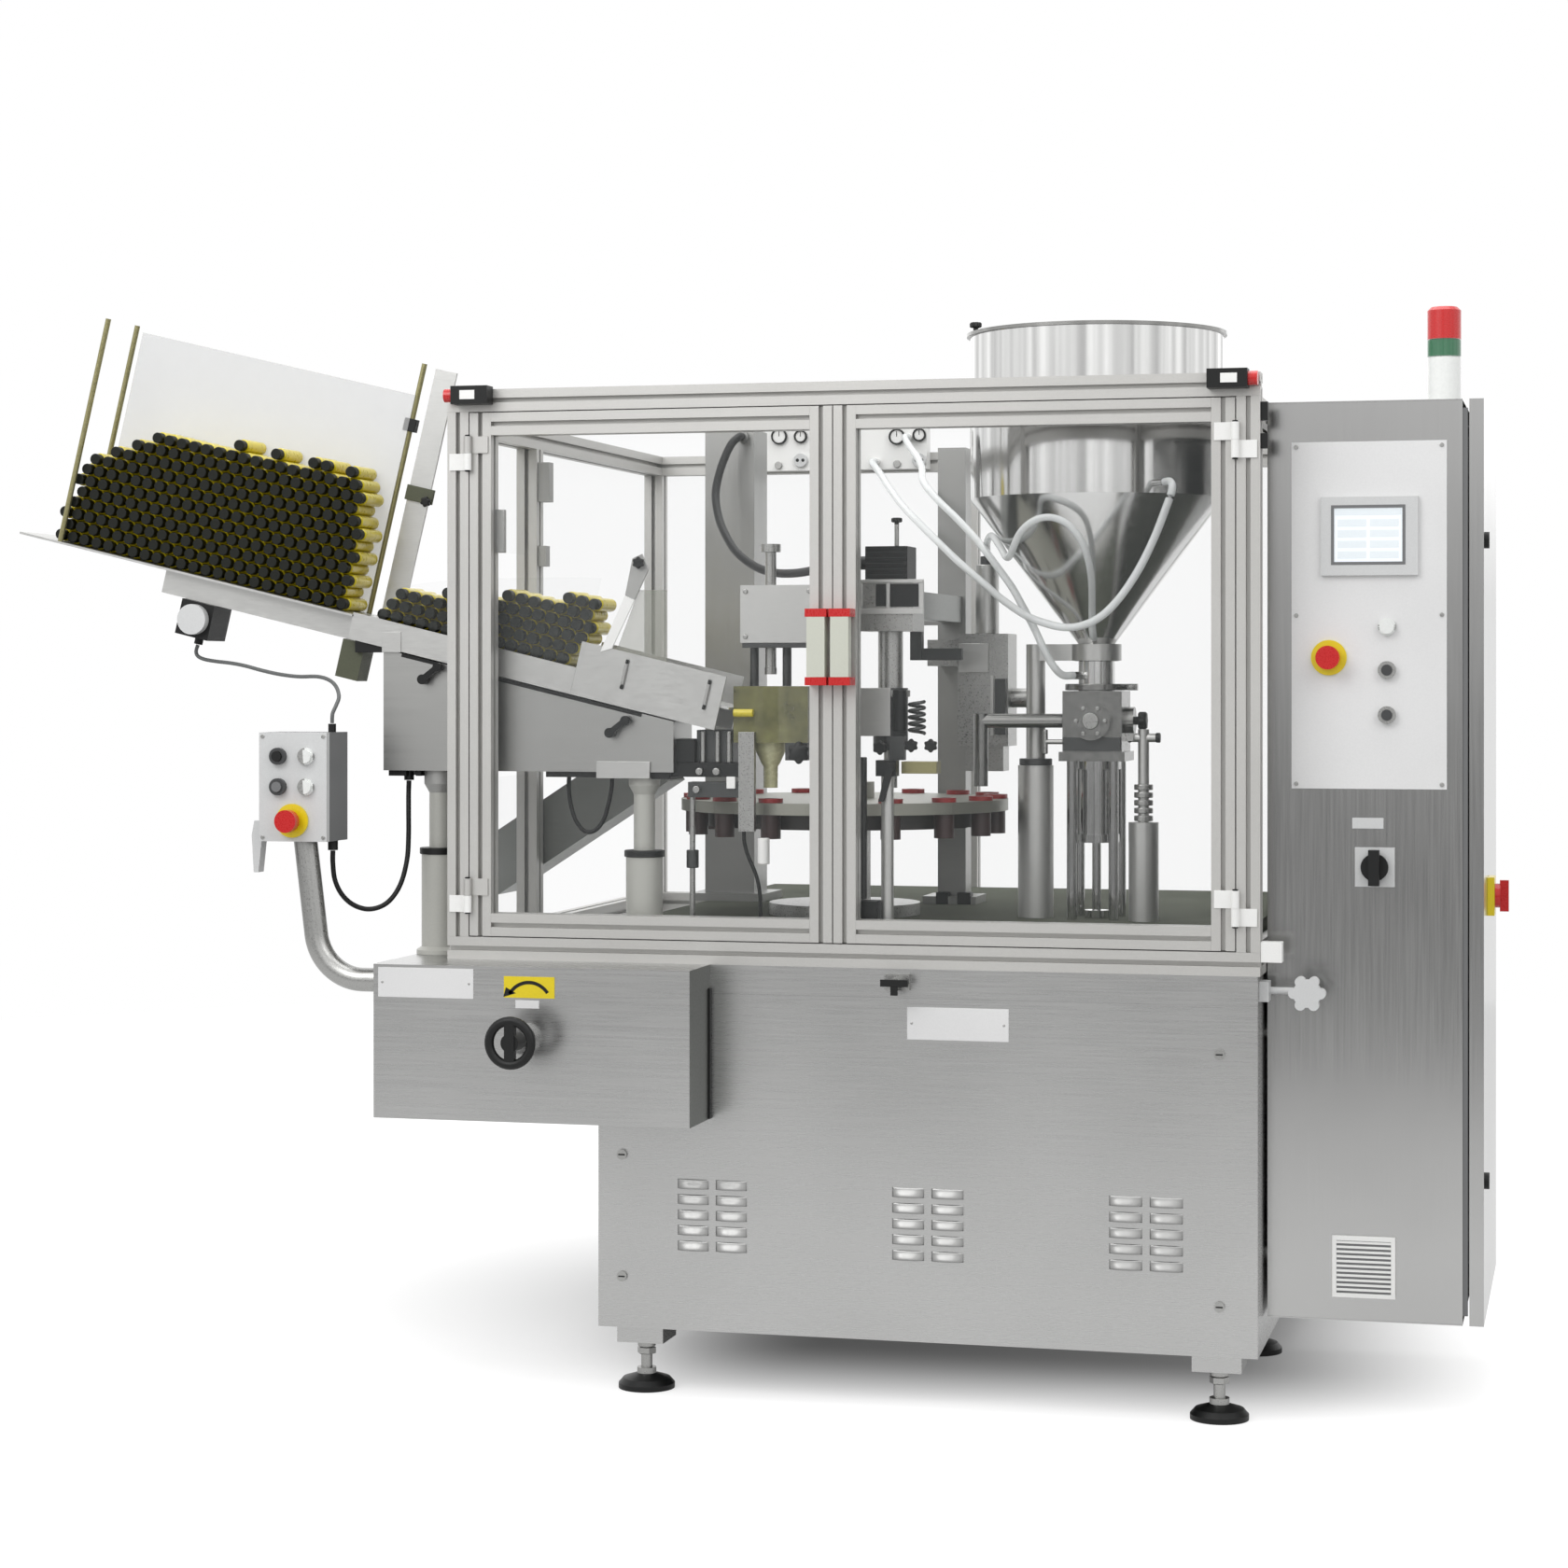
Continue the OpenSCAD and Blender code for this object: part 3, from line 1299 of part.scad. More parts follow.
module magazine_tray() {
    rear = tray_back + 12;
    front = chute_y - 8;
    beam_x0 = 250;
    motor_x = 300;
    gate_y = tray_back + plate + 2 * seam;
    color("gainsboro") on_line() {
        block([-tray_lip, front, -plate], [tray_l, rear, 0]);
        for (y = [front + 5, rear - 6])
            rod_z(seam, rod_h, 42, y, 10);
        rod_z(seam, rod_h + 50, tray_l - 18, rear - 6, 10);
        block([beam_x0, chute_y + 25, -plate - 44], [tray_l + 40, tray_back - 25, -plate - seam]);
        block([tray_l + 6, gate_y, -40], [tray_l + 48, gate_y + 6, rod_h + 46]);
        block([motor_x, chute_y + 10, -plate - 66 - 44], [motor_x + 66, chute_y + 90, -plate - 44 - seam]);
        rod_y(chute_y - 6, chute_y + 10 - seam, motor_x + 33, -plate - 44 - 33, 56);
        rod_z(-plate - 66 - 58, -plate - 66 - 44 - seam, motor_x + 30, chute_y + 56, 16);
        block([tray_l - 14, chute_y + 10, -plate - 44 - 70],
              [tray_l + 30, chute_y + 60, -plate - 44 - seam]);
    }
}

module tube_load() {
    color("darkolivegreen") on_line()
        for (outline = [load_points, chute_load_points])
            translate([0, 0, seam]) prism(outline, tube_y, tube_y + tube_l);
}

module chute_body() {
    wall = 2;
    x0 = housing_x0;
    x1 = housing_x1;
    front = chute_y;
    back = tray_back + 6;
    outer = [[x0, housing_z], [x1, housing_z], [x1, housing_top(x1)], [x0, housing_top(x0)]];
    inner = [[x0 + wall, housing_z + wall], [x1 - wall, housing_z + wall],
             [x1 - wall, housing_top(x1 - wall) - wall], [x0 + wall, housing_top(x0 + wall) - wall]];
    from = tray_l + seam;
    exit_from = line_l - 290;
    color("silver") {
        difference() {
            prism(outer, front, back);
            prism(inner, front + wall, back - wall);
            for (p = lever_places)
                rod_y(front - cut, front + wall + cut, p[0], p[1], stem_d + 2 * run);
        }
        on_line() {
            block([from, chute_y, -plate], [line_l, tray_back, -seam]);
            for (y = [chute_y - plate - seam, tray_back + seam])
                block([from, y, -rail_drop], [exit_from - seam, y + plate, 4]);
            for (y = [chute_y - plate - seam, tray_back + seam])
                block([exit_from, y, -rail_drop], [line_l - 16, y + plate, 52]);
            for (x = [tray_l + 60, line_l - 200])
                block([x, chute_y + 20, -rail_drop - 2.5], [x + 40, tray_back - 20, -plate - seam]);
        }
    }
}

// Telescopic leg from a floor height to the chute underside
module leg(x, z0) {
    sleeve_r = leg_sleeve_d / 2;
    tube_r = leg_tube_d / 2;
    top = housing_z - seam;
    sleeve_top = table_z + 126;
    outline = [[0, z0 + seam], [sleeve_r + 9, z0 + seam], [sleeve_r + 9, z0 + 8], [sleeve_r, z0 + 14],
               [sleeve_r, sleeve_top], [tube_r, sleeve_top], [tube_r, top - 40], [tube_r + 9, top - 24],
               [tube_r + 9, top], [0, top]];
    translate([x, leg_y, 0]) rotate_extrude() polygon(outline);
}
module chute_legs() {
    color("whitesmoke") {
        leg(left_leg_x, box_top);
        leg(right_leg_x, table_z);
    }
}

// Clamp lever on the chute front: stem, hub and arm with a round end
module clamp_lever(p) {
    face = chute_y - loose;
    color("black") {
        rod_y(face - cut, chute_y + 10, p[0], p[1], stem_d);
        rod_y(face - lever_out, face, p[0], p[1], 18);
        translate([p[0], 0, p[1]]) rotate([0, -38, 0]) {
            block([0, face - lever_out, -5], [34, face - lever_out + 10, 5]);
            rod_y(face - lever_out, face - lever_out + 12, 36, 0, 16);
        }
    }
}
module chute_lever_left() {
    clamp_lever(lever_places[0]);
}
module chute_lever_right() {
    clamp_lever(lever_places[1]);
}

module discharge_chute() {
    side_h = 104;
    wall = 3;
    y1 = discharge_y + discharge_w;
    clamp_at = (discharge_x - guard_x0 - profile / 2) / cos(discharge_slope) - 12;
    color("dimgray") translate([discharge_x, 0, discharge_z])
        rotate([0, 180 - discharge_slope, 0]) mirror([0, 0, 1]) {
        block([0, discharge_y, 0], [discharge_l, y1, wall]);
        for (y = [discharge_y, y1 - wall])
            block([0, y, wall + seam], [discharge_l, y + wall, side_h]);
        block([clamp_at - 14, discharge_y - 5 + seam, 10], [clamp_at + 14, discharge_y - seam, 40]);
    }
}

module air_supply() {
    knob_x = half_w + 82;
    knob_z = apron_top - 26;
    color("whitesmoke") {
        for (x = manifold_xs)
            block([x, manifold_y, manifold_z], [x + 150, base_d - profile - seam, manifold_z + 90]);
        for (p = hose_ports)
            rod_y(manifold_y - 20, manifold_y - seam, p[0], p[1], hose_d);
        block([half_w + seam, 22, apron_top - 44], [half_w + 16, 58, apron_top - 10]);
        rod_x(half_w + 16 + seam, knob_x - 16 - seam, 40, knob_z, 12);
        rod_y(12, 50, knob_x, knob_z, 32);
        for (a = [0:60:300])
            rod_y(-8, 12 - seam, knob_x + 22 * cos(a), knob_z + 22 * sin(a), 18);
        rod_y(-8, 12 - seam, knob_x, knob_z, 46);
    }
}

// Cables and hoses

module pendant_cable() {
    color("black") cord(pendant_cable_route, pendant_cable_d, 8);
}
module motor_cable() {
    color("gray") cord(motor_cable_route, motor_cable_d, 8);
}
module head_hose() {
    color("black") cord(head_hose_route, head_hose_d, 10);
}
module hopper_hose() {
    color("lightblue", 0.6) cord(hopper_hose_route, hose_d, 10);
}
module valve_hose() {
    color("lightblue", 0.6) cord(valve_hose_route, hose_d, 10);
}

// Puts the origin under the middle of the object
module placed() {
    translate(origin_shift) children();
}

placed() base_frame();
placed() base_panels();
placed() panel_locks();
placed() levelling_feet();
placed() table_top();
placed() guard_profiles();
placed() clear_panes();
placed() door_hinges();
placed() interlock_switches();
placed() left_door_frame();
placed() left_door_pane();
placed() right_door_frame();
placed() right_door_pane();
placed() handwheel_box();
placed() handwheel();
placed() pendant_arm();
placed() pendant_box();
placed() control_fittings();
placed() pendant_start_button();
placed() pendant_stop_button();
placed() pendant_estop();
placed() cabinet_body();
placed() cabinet_door();
placed() electrical_plate();
placed() control_panel();
placed() hmi();
placed() panel_estop();
placed() panel_start_button();
placed() panel_reset_button();
placed() mode_switch_knob();
placed() isolator_knob();
placed() stack_light();
placed() turret_disc();
placed() tube_holders();
placed() turret_pedestal();
placed() index_drive();
placed() camshaft();
placed() drive_chain();
placed() station_columns();
placed() insertion_head();
placed() insertion_pusher();
placed() station_heads();
placed() hopper();
placed() dosing_valve();
placed() dosing_cylinder();
placed() dosing_piston();
placed() filler_columns();
placed() magazine_tray();
placed() tube_load();
placed() chute_body();
placed() chute_legs();
placed() chute_lever_left();
placed() chute_lever_right();
placed() discharge_chute();
placed() air_supply();
placed() pendant_cable();
placed() motor_cable();
placed() head_hose();
placed() hopper_hose();
placed() valve_hose();
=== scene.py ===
"""Looks of a rotary tube filling machine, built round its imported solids.

Places are given in millimetres from the middle of the base front at floor level: x to the right, y into the
machine, z up. A Datum turns them into metres in the shared frame.
"""
import logging
import math
from collections.abc import Callable, Sequence
from dataclasses import dataclass
from enum import Enum

import bpy
import numpy as np
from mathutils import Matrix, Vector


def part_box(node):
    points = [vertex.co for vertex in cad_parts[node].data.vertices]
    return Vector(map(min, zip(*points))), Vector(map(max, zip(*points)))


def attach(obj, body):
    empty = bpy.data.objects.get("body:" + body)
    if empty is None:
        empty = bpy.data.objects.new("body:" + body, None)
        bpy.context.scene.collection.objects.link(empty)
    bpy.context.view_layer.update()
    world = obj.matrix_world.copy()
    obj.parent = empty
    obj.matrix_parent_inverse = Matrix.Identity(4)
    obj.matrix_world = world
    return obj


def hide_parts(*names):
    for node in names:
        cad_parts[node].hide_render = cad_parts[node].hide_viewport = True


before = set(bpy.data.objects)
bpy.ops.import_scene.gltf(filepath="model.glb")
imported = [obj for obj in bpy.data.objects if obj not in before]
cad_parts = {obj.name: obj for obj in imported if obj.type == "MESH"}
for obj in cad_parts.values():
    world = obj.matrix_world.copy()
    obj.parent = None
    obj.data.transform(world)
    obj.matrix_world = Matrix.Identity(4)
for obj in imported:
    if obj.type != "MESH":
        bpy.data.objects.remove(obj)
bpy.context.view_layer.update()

MM = 0.001
log = logging.getLogger("tube_filler")

Array = np.ndarray
Place = Callable[[Array], Array]
Pair = tuple[float, float]
Point = tuple[float, float, float]
# Start and end of a value, and what they become.
Span = tuple[float, float, float, float]

WHITE_LIGHT = (1, 1, 1, 1)
# Most of a noise lies between these two values.
NOISE_SPAN = (0.3, 0.7)
# Edges sharper than the first stay sharp in shading; those sharper than the second are rounded.
SHARP_EDGE = math.radians(38)
ROUNDED_EDGE = math.radians(40)
# A direction that no tube runs along.
ASKEW = np.array([0.31, 0.17, 0.93])


def linear(code: str, alpha: float = 1.0) -> tuple[float, float, float, float]:
    """Turns an sRGB hex value into a linear colour.

    Args:
        code: Hex value such as "#A0A0A0".
        alpha: Opacity to append.

    Returns:
        Linear red, green, blue and alpha.
    """
    srgb = np.array([int(code[i:i + 2], 16) for i in (1, 3, 5)]) / 255
    low = srgb / 12.92
    high = ((srgb + 0.055) / 1.055) ** 2.4
    return (*np.where(srgb <= 0.04045, low, high).tolist(), alpha)


def feed(tree: bpy.types.NodeTree, node: bpy.types.Node, inputs: dict) -> None:
    """Gives the sockets of a node their values.

    Args:
        tree: Node tree that holds the node.
        node: Node to feed.
        inputs: Socket name or number to a value, or to the output socket that feeds it.
    """
    for name, value in inputs.items():
        if isinstance(value, bpy.types.NodeSocket):
            tree.links.new(value, node.inputs[name])
        else:
            node.inputs[name].default_value = value


def add_node(tree: bpy.types.NodeTree, kind: str, inputs: dict, **settings: object) -> bpy.types.Node:
    """Adds one shader node.

    Args:
        tree: Node tree that takes the node.
        kind: Blender's name of the node type, without its "ShaderNode".
        inputs: Values or feeds of its sockets.
        settings: Attributes of the node.

    Returns:
        The new node.
    """
    made = tree.nodes.new("ShaderNode" + kind)
    for name, value in settings.items():
        setattr(made, name, value)
    feed(tree, made, inputs)
    return made


def math_node(tree: bpy.types.NodeTree, operation: str, a: object, b: object = 0.0) -> bpy.types.NodeSocket:
    """Adds a math node on two numbers or sockets and returns its output."""
    return add_node(tree, "Math", {0: a, 1: b}, operation=operation).outputs["Value"]


def vector_node(tree: bpy.types.NodeTree, operation: str, a: object, b: object = (0, 0, 0),
                output: str = "Vector") -> bpy.types.NodeSocket:
    """Adds a vector math node on two vectors or sockets and returns one of its outputs."""
    return add_node(tree, "VectorMath", {0: a, 1: b}, operation=operation).outputs[output]


def span_node(tree: bpy.types.NodeTree, value: object, span: Span, curve: str = "LINEAR") -> bpy.types.NodeSocket:
    """Adds a node that carries a value over a span and returns its output."""
    names = ("From Min", "From Max", "To Min", "To Max")
    return add_node(tree, "MapRange", {"Value": value, **dict(zip(names, span))},
                    interpolation_type=curve).outputs["Result"]


@dataclass(frozen=True)
class Finish:
    """One real material: its colour, gloss and the grain its making left.

    The grain is a noise whose cell is grain_mm wide; along makes the cells longer on each axis, as brushing does.
    Cloud is the share by which the colour drifts over a third of a metre, as handling and mill marks do.
    """

    name: str
    colour: str
    metallic: float = 0.0
    roughness: float = 0.4
    spread: float = 0.08
    grain_mm: float = 4.0
    relief_mm: float = 0.02
    drift: float = 0.06
    cloud: float = 0.04
    ior: float = 1.5
    coat: float = 0.0
    alpha: float = 1.0
    glow: float = 0.0
    along: Point = (1.0, 1.0, 1.0)

    def material(self) -> bpy.types.Material:
        """Builds the material once and returns it."""
        known = bpy.data.materials.get(self.name)
        if known:
            return known
        made = bpy.data.materials.new(self.name)
        made.use_nodes = True
        tree = made.node_tree
        spot = add_node(tree, "TexCoord", {}).outputs["Object"]
        cells = [1 / (self.grain_mm * MM * stretch) for stretch in self.along]
        scaled = add_node(tree, "Mapping", {"Vector": spot, "Scale": cells}).outputs["Vector"]
        grain = add_node(tree, "TexNoise", {"Vector": scaled, "Scale": 1.0, "Detail": 3.0,
                                            "Roughness": 0.6}).outputs["Fac"]
        patch = add_node(tree, "TexNoise", {"Vector": spot, "Scale": 3.0, "Detail": 2.0}).outputs["Fac"]
        shade = span_node(tree, grain, (*NOISE_SPAN, 1 - self.drift, 1 + self.drift))
        cloudy = span_node(tree, patch, (*NOISE_SPAN, 1 - self.cloud, 1 + self.cloud))
        tone = add_node(tree, "VectorMath", {0: linear(self.colour)[:3],
                                             "Scale": math_node(tree, "MULTIPLY", shade, cloudy)}, operation="SCALE")
        gloss = span_node(tree, grain, (*NOISE_SPAN, max(self.roughness - self.spread, 0.02),
                                        min(self.roughness + self.spread, 1.0)))
        relief = add_node(tree, "Bump", {"Height": grain, "Strength": 1.0, "Distance": self.relief_mm * MM})
        feed(tree, tree.nodes["Principled BSDF"], {
            "Base Color": tone.outputs["Vector"], "Roughness": gloss, "Normal": relief.outputs["Normal"],
            "Metallic": self.metallic, "IOR": self.ior, "Coat Weight": self.coat, "Alpha": self.alpha,
            "Emission Color": linear(self.colour), "Emission Strength": self.glow})
        made.diffuse_color = linear(self.colour, self.alpha)
        return made


# Stainless sheet brushed along x: fine straight lines blur what it mirrors. The real lines are under 0.3 mm apart
# and are drawn 3 mm apart so that they show.
BRUSHED_SHEET = Finish("stainless_brushed_along", "#B4B4B3", 1.0, 0.28, 0.03, 3.0, 0.003, 0.010, along=(60, 1, 1))
# The same sheet with its lines upright, as on cabinet doors.
UPRIGHT_SHEET = Finish("stainless_brushed_upright", "#B1B1B0", 1.0, 0.19, 0.02, 3.0, 0.002, 0.010, along=(1, 1, 60))
# Thinner sheet of the chute housing, duller than the base.
HOUSING_SHEET = Finish("stainless_brushed_housing", "#A6A6A4", 1.0, 0.32, 0.03, 3.0, 0.003, 0.012, along=(60, 1, 1))
# Pressed louvre hoods: the base's stainless painted a shade darker, as painted shade that tones down the light their
# faces catch.
SHADED_HOOD_SHEET = Finish("stainless_pressed_painted_shade", "#969695", 1.0, 0.38, 0.04, 6.0, 0.003, 0.02)
# Table plate, ground and oiled: dark and matte at the low angle that it is mostly seen from.
TABLE_PLATE = Finish("steel_oiled_table", "#5C5F55", 0.0, 0.75, 0.08, 5.0, 0.012, 0.10, 0.15, 1.08, along=(12, 1, 1))
# Mirror-polished spun sheet of the hopper.
POLISHED = Finish("stainless_polished", "#C2C2C1", 1.0, 0.10, 0.03, 8.0, 0.004, 0.01, 0.02, along=(1, 1, 6))
# Spun cone of the hopper, a little duller and paler.
SPUN_SHEET = Finish("stainless_spun", "#D6D6D5", 1.0, 0.15, 0.03, 8.0, 0.004, 0.01, 0.02, along=(1, 1, 6))
# Turned and milled steel parts: satin with faint tool lines.
MACHINED = Finish("steel_machined", "#A2A2A0", 1.0, 0.32, 0.08, 2.5, 0.010, 0.06)
DARK_STEEL = Finish("steel_blackened", "#4A4B4B", 0.9, 0.42, 0.08, 3.0, 0.012, 0.08)
# Square columns of drawn stainless tube: soft upright lines.
COLUMN_STEEL = Finish("stainless_drawn_tube", "#9A9A98", 0.9, 0.36, 0.05, 3.0, 0.008, 0.02, along=(1, 1, 40))
# Cast and turned valve parts with dark hollows.
VALVE_STEEL = Finish("stainless_cast", "#8A8A88", 1.0, 0.22, 0.05, 12.0, 0.010, 0.03)
# Worn sheet, dull from handling and sliding tubes; on the handwheel box's right side its darker tone is painted
# shade.
WORN_AND_SHADED_SHEET = Finish("stainless_worn_and_painted_shade", "#7C7E7B", 0.9, 0.40, 0.08, 5.0, 0.012, 0.06, 0.08, along=(10, 1, 1))
# Brass rods and brackets, browned by age.
OLD_BRASS = Finish("brass_aged", "#8C8762", 0.8, 0.38, 0.08, 5.0, 0.012, 0.10)
OLIVE_PAINT = Finish("machine_paint_olive", "#4B4E3C", 0.1, 0.50, 0.06, 4.0, 0.03, 0.08)
BRIGHT_PLATE = Finish("aluminium_milled", "#B9B9B7", 0.9, 0.36, 0.06, 2.5, 0.008, 0.03, along=(8, 1, 1))
# Anodised extrusion: matte with faint drawing lines along it.
ANODISED = Finish("aluminium_anodised", "#BBBAB7", 0.6, 0.44, 0.05, 2.0, 0.006, 0.03)
# Die-cast caps and pane clips, a shade darker than the profiles.
CAST_CAP = Finish("zinc_die_cast", "#A0A09E", 0.5, 0.5, 0.06, 3.0, 0.02, 0.05)
# Clear polycarbonate sheet, nearly unseen; a low index keeps its mirror image as faint as on coated sheet.
CLEAR_SHEET = Finish("polycarbonate_clear", "#B8BCBC", 0.0, 0.06, 0.02, 60.0, 0.004, 0.01, 0.01, 1.25, 0.0, 0.03)
FROSTED_SHEET = Finish("acrylic_hazed", "#D6D7D8", 0.0, 0.35, 0.03, 30.0, 0.0, 0.01, 0.01, 1.3, 0.0, 0.42)
HAZE_SHEET = Finish("acrylic_scuffed", "#9C9D92", 0.0, 0.28, 0.05, 30.0, 0.004, 0.04, 0.05, 1.49, 0.0, 0.36)
GUIDE_RESIN = Finish("polyurethane_amber", "#6C6B42", 0.0, 0.20, 0.05, 45.0, 0.02, 0.35, 0.30, 1.5, 0.3, 0.82)
PALE_RESIN = Finish("polyurethane_pale", "#C9C79C", 0.0, 0.25, 0.05, 9.0, 0.02, 0.12, 0.10, 1.5, 0.3)
# Turned acetal tube holders and the laminate ring that carries them. The holders' maroon is their red painted in the
# shade under the disc, and the ring's dark brown is partly painted shade of that band.
SHADED_RED_RESIN = Finish("acetal_red_painted_shade", "#301513", 0.0, 0.36, 0.06, 4.0, 0.010, 0.12)
RED_RESIN = Finish("acetal_red", "#921818", 0.0, 0.34, 0.06, 4.0, 0.010, 0.10)
SHADED_BROWN_RESIN = Finish("phenolic_brown_partly_painted_shade", "#211A16", 0.0, 0.42, 0.06, 5.0, 0.012, 0.15)
RING_STEEL = Finish("steel_turned_dull", "#8F8F86", 0.7, 0.40, 0.06, 3.0, 0.010, 0.05)
# Moulded plastics: a fine spark-eroded texture.
BLACK_PLASTIC = Finish("nylon_black", "#0D0E0E", 0.0, 0.45, 0.08, 1.6, 0.03, 0.15, 0.04, 1.38)
RED_PLASTIC = Finish("abs_red", "#C00A0C", 0.0, 0.28, 0.05, 2.0, 0.012, 0.05, 0.03, 1.5, 0.3)
YELLOW_PLASTIC = Finish("abs_yellow", "#E2CB12", 0.0, 0.32, 0.05, 2.0, 0.012, 0.04, 0.03, 1.5, 0.2)
WHITE_PLASTIC = Finish("abs_white", "#EDEDEB", 0.0, 0.36, 0.06, 2.0, 0.012, 0.02)
GREY_PLASTIC = Finish("abs_light_grey", "#C9CACA", 0.0, 0.40, 0.06, 1.8, 0.02, 0.04)
DARK_PLASTIC = Finish("abs_dark_grey", "#6C6D6E", 0.0, 0.45, 0.06, 1.8, 0.02, 0.05)
CHARCOAL_PLASTIC = Finish("abs_charcoal", "#38393A", 0.0, 0.40, 0.06, 1.8, 0.02, 0.05)
GRIP_PLASTIC = Finish("nylon_pale_grip", "#C6C8BC", 0.0, 0.40, 0.05, 1.8, 0.02, 0.04)
GREEN_LENS = Finish("lens_green", "#2F6B4A", 0.0, 0.15, 0.03, 5.0, 0.004, 0.05, 0.03, 1.5, 0.3)
CLEAR_LENS = Finish("lens_clear", "#E4E6E4", 0.0, 0.15, 0.03, 5.0, 0.004, 0.03, 0.03, 1.5, 0.3)
SCREEN = Finish("display_lit", "#E6ECF0", 0.0, 0.12, 0.02, 6.0, 0.001, 0.01, 0.02, 1.5, 0.2, 1.0, 0.25)
SCREEN_TILE = Finish("display_tile", "#DBE2E6", 0.0, 0.12, 0.02, 6.0, 0.001, 0.01, 0.02, 1.5, 0.2, 1.0, 0.2)
# Powder coat: a soft orange peel a few millimetres wide.
WHITE_COAT = Finish("powder_coat_white", "#DCDCDC", 0.0, 0.42, 0.05, 3.0, 0.03, 0.02)
LEG_COAT = Finish("powder_coat_pale_grey", "#B2B2AC", 0.1, 0.40, 0.05, 3.0, 0.03, 0.03)
GREY_COAT = Finish("machine_paint_grey", "#5C6063", 0.0, 0.48, 0.06, 4.0, 0.04, 0.06)
ZINC_PLATE = Finish("steel_zinc_plated", "#B9B4A2", 0.9, 0.42, 0.08, 12.0, 0.010, 0.10)
# Printed laminate tubes and their polypropylene caps.
TUBE_BODY = Finish("laminate_yellow", "#C9B81A", 0.0, 0.30, 0.05, 8.0, 0.006, 0.10, 0.06, 1.5, 0.3)
TUBE_CAP = Finish("polypropylene_black", "#0C0F08", 0.0, 0.50, 0.06, 3.0, 0.02, 0.15, 0.04, 1.32)
CLEAR_HOSE = Finish("pvc_hose_clear", "#E9ECEC", 0.0, 0.22, 0.04, 6.0, 0.01, 0.03, 0.02, 1.5, 0.2, 0.72)
GREY_CABLE = Finish("pvc_cable_grey", "#5E6060", 0.0, 0.5, 0.06, 3.0, 0.02, 0.06)
BLACK_CABLE = Finish("pvc_cable_black", "#0E0F0F", 0.0, 0.42, 0.06, 3.0, 0.02, 0.10, 0.04, 1.36)


@dataclass(frozen=True)
class Datum:
    """The middle of the base front at floor level, in the shared frame, in metres."""

    x: float
    y: float

    @classmethod
    def from_frame(cls) -> "Datum":
        """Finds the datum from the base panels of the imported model."""
        low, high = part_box("base_panels")
        return cls((low.x + high.x) / 2, low.y)

    def place(self, points: Array) -> Array:
        """Turns millimetre places into metres in the shared frame."""
        return np.asarray(points, float) * MM + np.array([self.x, self.y, 0.0])

    def unplace(self, points: Array) -> Array:
        """Turns metres in the shared frame into millimetre places."""
        return (np.asarray(points, float) - np.array([self.x, self.y, 0.0])) / MM


DATUM = Datum.from_frame()


@dataclass(frozen=True)
class FallingLine:
    """The line of the magazine and chute floor: u runs down along it, w stands square to it."""

    start_x: float = -1686.75
    start_z: float = 1521.27
    slope: float = math.radians(13.37)

    def place(self, points: Array) -> Array:
        """Turns places (u, y, w) on the line into metres in the shared frame."""
        u, y, w = np.asarray(points, float).T
        x = self.start_x + u * math.cos(self.slope) + w * math.sin(self.slope)
        z = self.start_z - u * math.sin(self.slope) + w * math.cos(self.slope)
        return DATUM.place(np.column_stack([x, y, z]))

    def unplace(self, points: Array) -> Array:
        """Turns metres in the shared frame into places (u, y, w) on the line."""
        x, y, z = DATUM.unplace(points).T
        across, up = x - self.start_x, z - self.start_z
        u = across * math.cos(self.slope) - up * math.sin(self.slope)
        w = across * math.sin(self.slope) + up * math.cos(self.slope)
        return np.column_stack([u, y, w])


LINE = FallingLine()


class Axis(Enum):
    """The axis that a turned shape runs along, as the columns of its two cross directions and its own."""

    X = ((0, 1, 0), (0, 0, 1), (1, 0, 0))
    Y = ((0, 0, 1), (1, 0, 0), (0, 1, 0))
    Z = ((1, 0, 0), (0, 1, 0), (0, 0, 1))


def grid_faces(rows: int, columns: int, wrap: bool, close: bool = False) -> Array:
    """Quads of a grid of points stored row by row.

    Args:
        rows: Number of rows.
        columns: Number of points in a row.
        wrap: True if each row is a closed ring.
        close: True if the last row joins the first.

    Returns:
        An array of four point numbers for each quad.
    """
    i, j = np.meshgrid(np.arange(rows if close else rows - 1), np.arange(columns if wrap else columns - 1),
                       indexing="ij")
    k = (j + 1) % columns
    n = (i + 1) % rows
    quads = np.stack([i * columns + j, i * columns + k, n * columns + k, n * columns + j], -1)
    return quads.reshape(-1, 4)


def smooth_path(points: Sequence[Sequence[float]], steps: int) -> Array:
    """A Catmull-Rom curve through the points.

    Args:
        points: Route points.
        steps: Curve points for each stretch between two route points.

    Returns:
        Points of the curve, ends included.
    """
    p = np.asarray(points, float)
    padded = np.vstack([2 * p[0] - p[1], p, 2 * p[-1] - p[-2]])
    t = np.linspace(0, 1, steps, endpoint=False)[None, :, None]
    a, b, c, d = (padded[i:len(padded) - 3 + i][:, None] for i in range(4))
    curve = 0.5 * (2 * b + (c - a) * t + (2 * a - 5 * b + 4 * c - d) * t ** 2 + (3 * b - a - 3 * c + d) * t ** 3)
    return np.vstack([curve.reshape(-1, 3), p[-1]])


